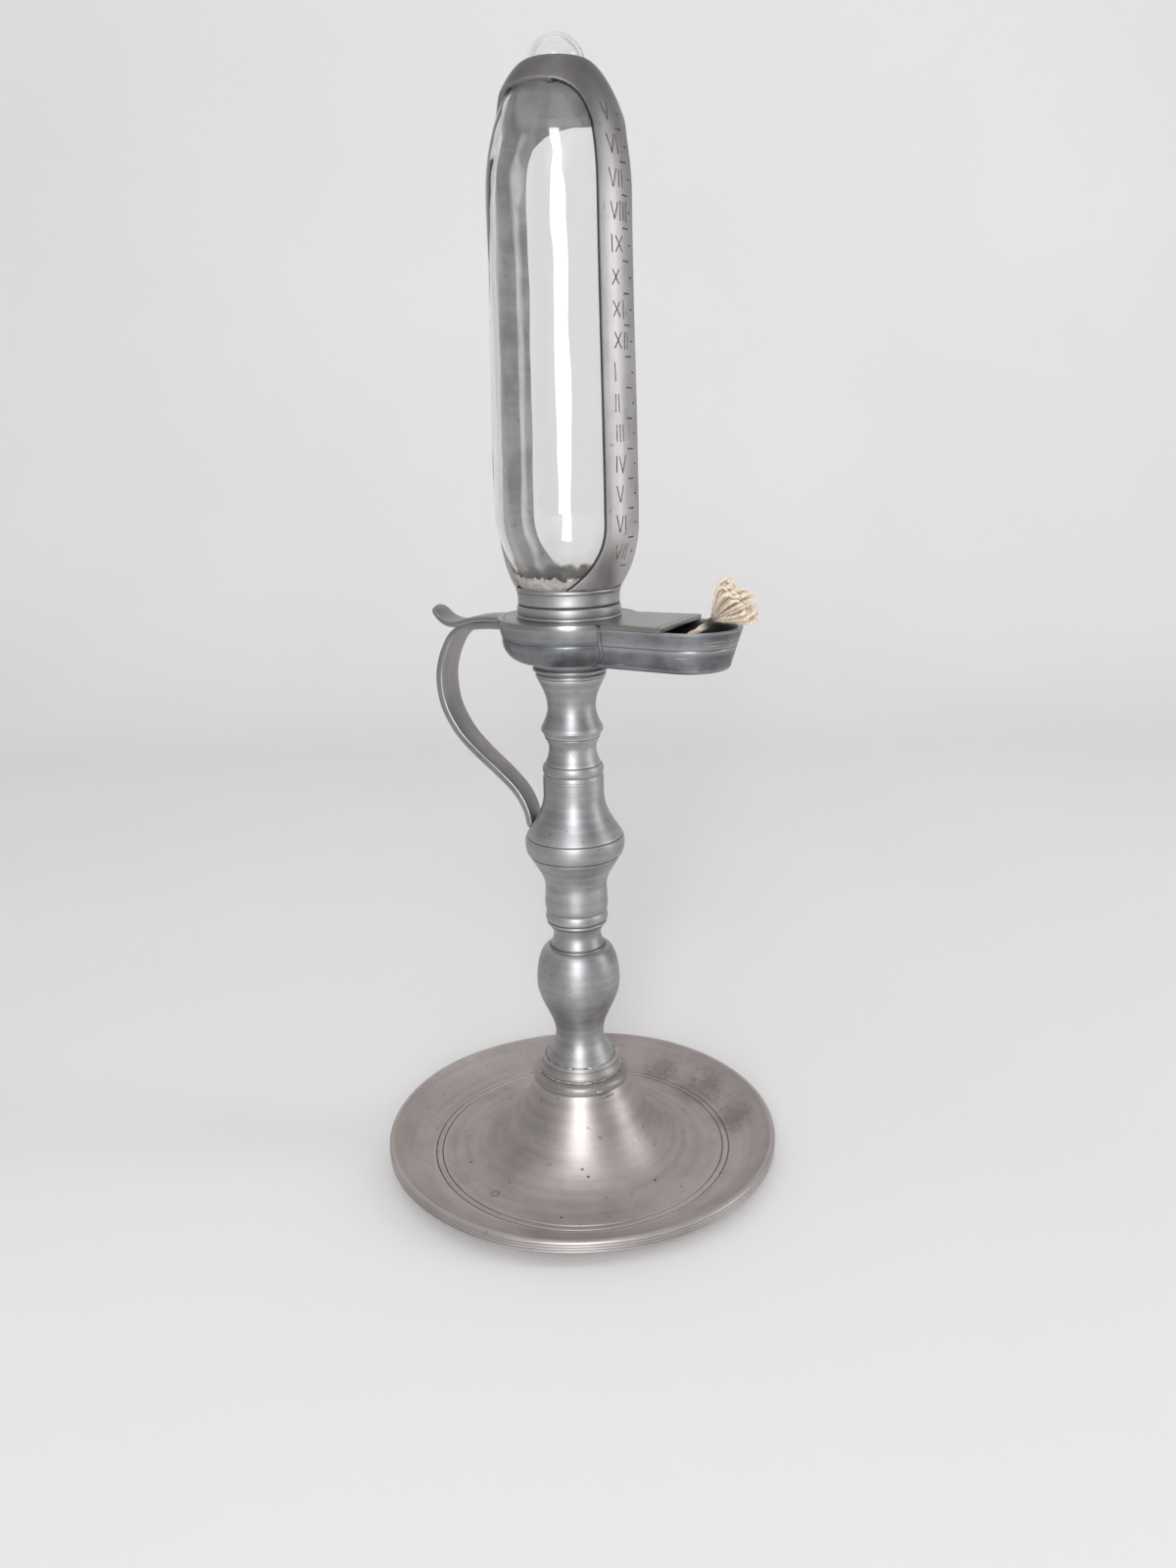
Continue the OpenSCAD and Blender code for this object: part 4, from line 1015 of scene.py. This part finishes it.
def make_collar():
    floor = COLLAR + 1.4
    around = [(NOZZLE_BORE, NOZZLE), (CORE_R - 0.4, NOZZLE), (CORE_R, NOZZLE + 0.4), (CORE_R, COLLAR),
              (WASHER_R, COLLAR), (15.5, COLLAR + 0.35), (15.45, COLLAR + 1.2), (15.5, COLLAR + 2.4),
              (15.6, MOUNT - 1.3), (15.9, MOUNT - 0.9), (15.95, MOUNT - 0.4), (15.7, MOUNT), (RECESS_R, MOUNT),
              (RECESS_R, floor), (NOZZLE_BORE, floor)]
    bm = lathe_mesh(around)
    add_thread(bm, CORE_R - 0.3, THREAD_R, THREAD_LOW, COLLAR - 1.2)
    made = piece("collar_turned", bm, STEM_PEWTER, "neck_collar", "reservoir")
    spot = turned_about("Z", STRAP_TURN) @ moved(0, 0, NOZZLE) @ turned_about("X", 90)
    bm = bmesh.new()
    bmesh.ops.create_cone(bm, cap_ends=True, segments=32, radius1=FEED_R * MM, radius2=FEED_R * MM,
                          depth=32 * MM, matrix=spot)
    cut(made, bm)


make_socket()
make_washer()
make_collar()


# Glass reservoir and its mount
GLASS_R = 21.5
GLASS_TOP_R = 20.4
GLASS_T = 1.4
GLASS_Z = COLLAR + 1.8
GAP = 0.15
STRAP_T = 1.25
UPPER = SHOULDER - 33.0
MOUNT_LOW_H = 19.0
GLASS_LOW_H = 23.0
FULLNESS = 1.45
TIP_R = 8.2


def glass_outside():
    outside = [(12.8, GLASS_Z), (13.1, (GLASS_Z + MOUNT) / 2)]
    outside += swell((13.4, MOUNT), (GLASS_R, MOUNT + GLASS_LOW_H), 30)
    outside += s_curve((GLASS_R, MOUNT + GLASS_LOW_H), (GLASS_TOP_R, UPPER), 30)
    outside += dome((GLASS_TOP_R, UPPER), (TIP_R + 0.3, SHOULDER), 40, FULLNESS)
    return outside + dome((TIP_R, SHOULDER + 0.3), (0.0, TOP), 16)


def make_glass():
    outside = glass_outside()
    inside = [(r, z) for r, z in shifted(outside, -GLASS_T) if r > 0.2 and z < TOP - GLASS_T]
    around = outside + [(0.0, TOP), (0.0, TOP - GLASS_T)] + inside[::-1]
    bm = lathe_mesh(around, 0.3, 192)
    piece("glass_blown", bm, GLASS, "glass_reservoir", "reservoir", 70)


make_glass()


def mount_inside():
    inside = swell((RECESS_R, MOUNT), (GLASS_R + GAP, MOUNT + MOUNT_LOW_H), 40)
    inside += s_curve((GLASS_R + GAP, MOUNT + MOUNT_LOW_H), (GLASS_TOP_R + GAP, UPPER), 60)
    return inside + dome((GLASS_TOP_R + GAP, UPPER), (TIP_R + 0.45, SHOULDER + GAP), 60, FULLNESS)


MOUNT_OUTSIDE = shifted(mount_inside(), STRAP_T)


def mount_radius(z):
    """Outside radius of the mount at a height."""
    for (r0, z0), (r1, z1) in zip(MOUNT_OUTSIDE, MOUNT_OUTSIDE[1:]):
        if z0 <= z <= z1:
            return r0 + (r1 - r0) * (z - z0) / (z1 - z0)
    return MOUNT_OUTSIDE[0][0] if z < MOUNT_OUTSIDE[0][1] else MOUNT_OUTSIDE[-1][0]


STRAP_HALF = 19.0
WINDOW_ANGLE = 90.0 - STRAP_HALF
WINDOW_LOW = MOUNT - 2.4
WINDOW_LOW_H = 22.0
WINDOW_HIGH = SHOULDER - 5.4
BACK_WINDOW_HIGH = SHOULDER - 11.0
WINDOW_HIGH_H = 20.0
LOW_SQUARE = 2.4
HIGH_SQUARE = 4.0


def rounded_share(rest, square):
    return (1 - rest ** square) ** (1 / square)


def strap_half(z, high):
    """Half of the angle that a strap covers at a height beside a window that ends at a given top."""
    share = 1.0
    if z < WINDOW_LOW + WINDOW_LOW_H:
        share = rounded_share(1 - (z - WINDOW_LOW) / WINDOW_LOW_H, LOW_SQUARE)
    elif z > high - WINDOW_HIGH_H:
        share = rounded_share(1 - (high - z) / WINDOW_HIGH_H, HIGH_SQUARE)
    return 90.0 - WINDOW_ANGLE * share


def window_top(angle, high):
    """Height of the cap's lower border at an angle from the nearest strap's middle, over one window."""
    share = (90.0 - angle) / WINDOW_ANGLE
    if share >= 1.0:
        return CAP
    return max(CAP, high - WINDOW_HIGH_H * (1 - rounded_share(share, HIGH_SQUARE)))


def on_mount(angle, z, r):
    a = math.radians(angle)
    return Vector((r * math.cos(a), r * math.sin(a), z)) * MM


def thicken(bm, rounding):
    """Gives a skin its thickness inwards and breaks its edges, but not where straps and cap meet."""
    bmesh.ops.remove_doubles(bm, verts=bm.verts, dist=1e-6)
    bmesh.ops.recalc_face_normals(bm, faces=bm.faces)
    if sum(f.calc_center_median().to_2d().dot(f.normal.to_2d()) for f in bm.faces) < 0:
        bmesh.ops.reverse_faces(bm, faces=bm.faces)
    bmesh.ops.solidify(bm, geom=bm.faces, thickness=STRAP_T * MM)
    bmesh.ops.recalc_face_normals(bm, faces=bm.faces)
    sharp = [e for e in bm.edges if e.calc_face_angle(0.0) > math.radians(50)
             and max(abs(v.co.z - CAP * MM) for v in e.verts) > 0.05 * MM]
    bmesh.ops.bevel(bm, geom=sharp, offset=rounding * MM, offset_type="OFFSET", affect="EDGES", segments=3,
                    profile=0.5, material=-1, clamp_overlap=True)


def mount_piece(name, bm, node, turn=None):
    """Finishes a piece of the mount: raw metal inside with its colour raised as painted light, and painted
    shade on the cut edge beside the hours.

    A strap, turned to an angle, is worn bright along the low round of its windows, which also paints the
    highlight that a bevelled cut face would catch there.
    """
    mark_edges(bm)
    edge = bm.verts.layers.float["edge"]
    for v in bm.verts:
        z = v.co.z / MM
        if abs(v.co.z - CAP * MM) < 1.2 * MM:
            v[edge] = 0.0
        # Painted highlight: along the low round of a strap's windows the edge value is raised, so the finish
        # shows worn bright metal where a bevelled cut face would catch the light.
        if turn is not None and MOUNT + 1.0 < z < MOUNT + 17.0:
            aside = (math.degrees(math.atan2(v.co.y, v.co.x)) - turn + 180.0) % 360.0 - 180.0
            room = math.radians(strap_half(z, WINDOW_HIGH) - abs(aside)) * mount_radius(z)
            v[edge] = max(v[edge], 0.85 - 0.4 * max(0.0, room))
    for face in bm.faces:
        out = face.calc_center_median().to_2d().normalized()
        facing = out.dot(face.normal.to_2d())
        across = out.x * face.normal.y - out.y * face.normal.x
        # Inward faces take the raw inside, painted pale as if lit; cut faces that face sideways take painted
        # shade.
        face.material_index = 1 if facing < -0.6 else 2 if across < -0.2 else 0
    return piece(name, bm, MOUNT_PEWTER, node, "reservoir", more=(RAW_INSIDE_PAINTED_LIGHT, CUT_EDGE_PAINTED_SHADE))


def make_strap(name, turn, node):
    bm = bmesh.new()
    bmesh.ops.create_grid(bm, x_segments=26, y_segments=150, size=1.0)
    for v in bm.verts:
        share = (v.co.y + 1) / 2
        z = MOUNT + (CAP - MOUNT) * (share ** 1.25)
        back = (v.co.x > 0) == (turn == STRAP_TURN)
        half = strap_half(z, BACK_WINDOW_HIGH if back else WINDOW_HIGH)
        v.co = on_mount(turn + v.co.x * half, z, mount_radius(z))
    thicken(bm, 0.4)
    return mount_piece(name, bm, node, turn)


def make_cap():
    bm = bmesh.new()
    bmesh.ops.create_grid(bm, x_segments=240, y_segments=40, size=1.0)
    above = [p for p in MOUNT_OUTSIDE if p[1] > CAP]
    for v in bm.verts:
        angle = v.co.x * 180.0
        low = window_top(min(abs(angle), 180.0 - abs(angle)), BACK_WINDOW_HIGH if angle > 0 else WINDOW_HIGH)
        share = (v.co.y + 1) / 2
        start = next((i for i, p in enumerate(above) if p[1] >= low), len(above) - 1)
        spot = start + (len(above) - 1 - start) * share
        i = min(int(spot), len(above) - 2)
        r = above[i][0] + (above[i + 1][0] - above[i][0]) * (spot - i)
        z = above[i][1] + (above[i + 1][1] - above[i][1]) * (spot - i)
        if share == 0.0:
            z, r = low, mount_radius(low)
        v.co = on_mount(angle + STRAP_TURN, z, r)
    thicken(bm, 0.25)
    return mount_piece("cap_shaped", bm, "top_cap")


hour_strap = make_strap("hour_strap_shaped", STRAP_TURN, "hour_strap")
make_strap("plain_strap_shaped", STRAP_TURN + 180.0, "plain_strap")
cap_shaped = make_cap()


# Hours cut into the strap, with the places in the list of those that are worn
HOURS = ["V", "VI", "VII", "VIII", "IX", "X", "XI", "XII", "I", "II", "III", "IV", "V", "VI", "VII"]
WORN_HOURS = (8, 9, 10, 14)
NOON = MOUNT + 68.4
HOUR_H = 8.2
LETTER_H = 4.8
LETTER_W = {"I": 1.25, "V": 3.35, "X": 4.15}
CUT_DEPTH = 0.28
LETTER_STROKE = 0.4
TICK_STROKE = 0.42
LONG_TICK = 2.8
SHORT_TICK = 1.2
LETTERS_FROM = -10.0
LONG_TICK_AT = 6.5
SHORT_TICK_AT = 12.0


def strokes_of(letter):
    """A letter's strokes: how far each is from the letter's middle, and how it slants."""
    w = LETTER_W[letter]
    if letter == "I":
        return [(0.0, 0.0)]
    if letter == "V":
        lean = math.degrees(math.atan(0.4 * w / LETTER_H))
        return [(-w / 5, lean), (w / 5, -lean)]
    lean = math.degrees(math.atan(0.75 * w / LETTER_H))
    return [(0.0, lean), (0.0, -lean)]


def stroke(bm, angle, offset, z, width, height, slant, worn=False):
    """One cut at an angle from the strap's middle, moved along the face by an offset, and at a height."""
    r = mount_radius(z)
    lean = math.degrees(math.atan((mount_radius(z + 1) - mount_radius(z - 1)) / 2))
    spot = (turned_about("Z", STRAP_TURN + angle + math.degrees(offset / r)) @ moved(r, 0, z)
            @ turned_about("Y", lean) @ turned_about("X", slant))
    size = Matrix.Diagonal((2 * CUT_DEPTH, width, height, 1.0))
    made = bmesh.ops.create_cube(bm, size=MM, matrix=spot @ size)
    for face in {f for v in made["verts"] for f in v.link_faces}:
        face.material_index = int(worn)


def hour_cuts(low, high):
    rng = random.Random(5)
    bm = bmesh.new()
    for i, letters in enumerate(HOURS):
        z = NOON + HOUR_H * (HOURS.index("XII") - i)
        wander = rng.uniform(-0.25, 0.25)
        if low < z < high:
            at = wander
            for c in letters:
                for offset, slant in strokes_of(c):
                    stroke(bm, LETTERS_FROM, at + LETTER_W[c] / 2 + offset, z + wander / 2, LETTER_STROKE,
                           LETTER_H * rng.uniform(0.92, 1.06), slant + rng.uniform(-2, 2), i in WORN_HOURS)
                at += LETTER_W[c]
            stroke(bm, SHORT_TICK_AT, 0.0, z, SHORT_TICK, TICK_STROKE, rng.uniform(-2, 2))
        if low < z - HOUR_H / 2 < high:
            stroke(bm, LONG_TICK_AT, 0.0, z - HOUR_H / 2, LONG_TICK, TICK_STROKE, rng.uniform(-2, 2))
    return bm


cut(hour_strap, hour_cuts(MOUNT + LETTER_H, CAP - 0.8), CUT_DIRT, WORN_CUT, overlapping=True)
cut(cap_shaped, hour_cuts(CAP + 0.8, TOP), CUT_DIRT, WORN_CUT, overlapping=True)


# Cement in the neck
CEMENT_H = 4.4


def make_cement():
    """A filling with an uneven border against the glass."""
    inside = [(r - SPARE, z) for r, z in mount_inside() if z < MOUNT + CEMENT_H]
    outside = [(r + SPARE, z) for r, z in glass_outside() if z < MOUNT + CEMENT_H]
    around = outside + inside[::-1] + [(RECESS_R - 0.1, GLASS_Z)]
    bm = lathe_mesh(around[::-1], 0.1, 240)
    for v in bm.verts:
        a = math.atan2(v.co.y, v.co.x)
        share = max(0.0, (v.co.z / MM - MOUNT) / CEMENT_H)
        drop = 2.2 * noise_round(a, 5, 2.0) - 0.4 + 0.9 * noise_round(a, 21, 4.0)
        v.co.z += min(0.2, drop) * share * MM
    piece("cement_fill", bm, CEMENT, "neck_cement", "reservoir", 60)


make_cement()


# Handle and thumb rest
HANDLE_TOP = RIM - 2.6
HANDLE_FOOT = BELL + 2.0
HANDLE_FOOT_X = 14.7
HANDLE_OUT_X = 45.55
HANDLE_BEND = [(0.626, 0.987), (0.754, 0.966), (0.862, 0.915), (0.963, 0.813), (1.0, 0.705), (0.956, 0.575),
               (0.807, 0.45), (0.593, 0.35), (0.34, 0.255), (0.146, 0.17), (0.039, 0.085), (0.0, 0.0)]
THUMB_REACH = 48.0
THUMB_ROOT_X = 20.3
THUMB_Z = RIM - 0.6
THUMB_BEND = [(0.22, 0), (0.44, -0.8), (0.68, -2.3), (0.86, -0.9), (1.0, 2.8)]
THUMB_T = 1.8
TIP_ROUND = 3.0
STRAP_W = 10.0


def strap_rings(line, width_at, thickness_at, rounding=0.45):
    """Rounded sections of a flat strap along a line in the plane of spout and handle."""
    rings = []
    for i, p in enumerate(line):
        t = direction(line, i)
        out = Vector((t.z, 0, -t.x))
        share = i / (len(line) - 1)
        w, h = width_at(share) / 2, thickness_at(share) / 2
        r = min(rounding, 0.8 * h, 0.8 * w)
        ring = []
        corners = ((w - r, h - r, 0), (-w + r, h - r, 90), (-w + r, -h + r, 180), (w - r, -h + r, 270))
        for cy, ch, start in corners:
            for k in range(4):
                a = math.radians(start + 30 * k)
                ring.append((p + Vector((0, cy + r * math.cos(a), 0)) + out * (ch + r * math.sin(a))) * MM)
        rings.append(ring)
    return rings


def make_handle():
    points = [(-20.5, 0, HANDLE_TOP), (-26.9, 0, HANDLE_TOP)]
    points += [(-HANDLE_FOOT_X - (HANDLE_OUT_X - HANDLE_FOOT_X) * x, 0,
                HANDLE_FOOT + (HANDLE_TOP - HANDLE_FOOT) * z) for x, z in HANDLE_BEND]
    points.append((-HANDLE_FOOT_X - 0.8, 0, BELL + 0.4))
    bm = bmesh.new()
    loft(bm, strap_rings(through(points, 9), lambda s: STRAP_W - 3.4 * past(s, 0.45) - 2.6 * past(s, 0.93),
                         lambda s: 2.1 + 0.25 * math.sin(math.pi * s) - 1.3 * past(s, 0.93)))
    handle = piece("handle_strap", bm, HANDLE_PEWTER, "handle")
    cut(handle, bowl_room(RIM + 4.0))
    around = [(0.0, BELL - 1.0), (15.45, BELL - 1.0), (15.45, BELL + 0.45)]
    around += [(r + SPARE, h) for r, h in swell((15.4, BELL + 0.5), (9.6, BELL + 14.0), 30)]
    around += [(9.6, BELL + 15.0), (0.0, BELL + 15.0)]
    cut(handle, lathe_mesh(around, 0.01))


def tongue_width(s):
    rest = (1.0 - s) * (THUMB_REACH - THUMB_ROOT_X)
    wide = STRAP_W - 2.0 * past(s, 0.6)
    return wide if rest > TIP_ROUND else wide * math.sqrt(max(0.01, 1.0 - (1.0 - rest / TIP_ROUND) ** 2))


def make_thumb_rest():
    points = [(-THUMB_ROOT_X, 0, THUMB_Z)]
    points += [(-BOWL_R - (THUMB_REACH - BOWL_R) * x, 0, THUMB_Z + z) for x, z in THUMB_BEND]
    bm = bmesh.new()
    loft(bm, strap_rings(through(points, 12), tongue_width, lambda s: THUMB_T - 0.6 * past(s, 0.7), 0.5))
    thumb = piece("thumb_tongue", bm, HANDLE_PEWTER, "thumb_rest")
    cut(thumb, bowl_room(RIM + 4.0))


make_handle()
make_thumb_rest()


# Stage, light and background, in metres
STAGE_HALF = 3.0
BEND_FROM = 0.55
BEND_R = 0.45


def stage_finish():
    f = Finish("pale_stage", {"Roughness": 0.75, "Specular IOR Level": 0.25})
    clouds = f.grain(f.place, 3.0, 2.0).between(0.2, 0.8)
    f.set("Base Color", f.mix(clouds, (0.80, 0.778, 0.762), (0.83, 0.808, 0.792)))
    return f


def make_stage():
    """A floor that turns up into a wall, square to the camera."""
    line = [(-STAGE_HALF, 0.0), (BEND_FROM, 0.0)]
    line += [(BEND_FROM + BEND_R * math.sin(a), BEND_R * (1 - math.cos(a))) for a in
             (math.pi / 2 * k / 24 for k in range(1, 25))]
    line += [(BEND_FROM + BEND_R, STAGE_HALF)]
    bm = bmesh.new()
    verts = [bm.verts.new((-STAGE_HALF, y, z)) for y, z in line]
    edges = [bm.edges.new((verts[i], verts[i + 1])) for i in range(len(verts) - 1)]
    grown = bmesh.ops.extrude_edge_only(bm, edges=edges)["geom"]
    bmesh.ops.translate(bm, verts=verts_of(grown), vec=(2 * STAGE_HALF, 0, 0))
    bmesh.ops.rotate(bm, verts=bm.verts, cent=(0, 0, 0), matrix=turned_about("Z", CAMERA_AZIMUTH).to_3x3())
    bmesh.ops.recalc_face_normals(bm, faces=bm.faces)
    if sum(f.normal.z for f in bm.faces) < 0:
        bmesh.ops.reverse_faces(bm, faces=bm.faces)
    for f in bm.faces:
        f.smooth = True
    add_object("stage", bm, stage_finish())


def soft_light(name, right, back, up, aim, size, power, tint):
    """A soft light, placed from the camera's own right, its back and up."""
    data = bpy.data.lights.new(name, "AREA")
    data.shape = "RECTANGLE"
    data.size, data.size_y = size
    data.energy = power
    data.color = tint
    made = bpy.data.objects.new(name, data)
    heading = turned_about("Z", CAMERA_AZIMUTH)
    spot = heading @ Vector((right, -back, up))
    towards = heading @ Vector((0, 0, aim)) - spot
    made.matrix_world = Matrix.Translation(spot) @ towards.to_track_quat("-Z", "Y").to_matrix().to_4x4()
    scene.collection.objects.link(made)


def light_scene():
    soft_light("window", -0.10, 1.35, 0.62, 0.2, (0.40, 1.15), 16.5, (0.93, 0.965, 1.0))
    soft_light("side_window", 1.25, 0.15, 0.55, 0.18, (0.35, 1.1), 4.5, (0.97, 0.985, 1.0))
    soft_light("ceiling", -0.2, 0.2, 1.7, 0.1, (2.4, 2.4), 7.0, (1.0, 0.99, 0.98))
    world = bpy.data.worlds.new("room")
    world.use_nodes = True
    background = next(n for n in world.node_tree.nodes if n.type == "BACKGROUND")
    background.inputs["Color"].default_value = (0.93, 0.95, 1.0, 1.0)
    background.inputs["Strength"].default_value = 0.45
    scene.world = world


make_stage()
light_scene()
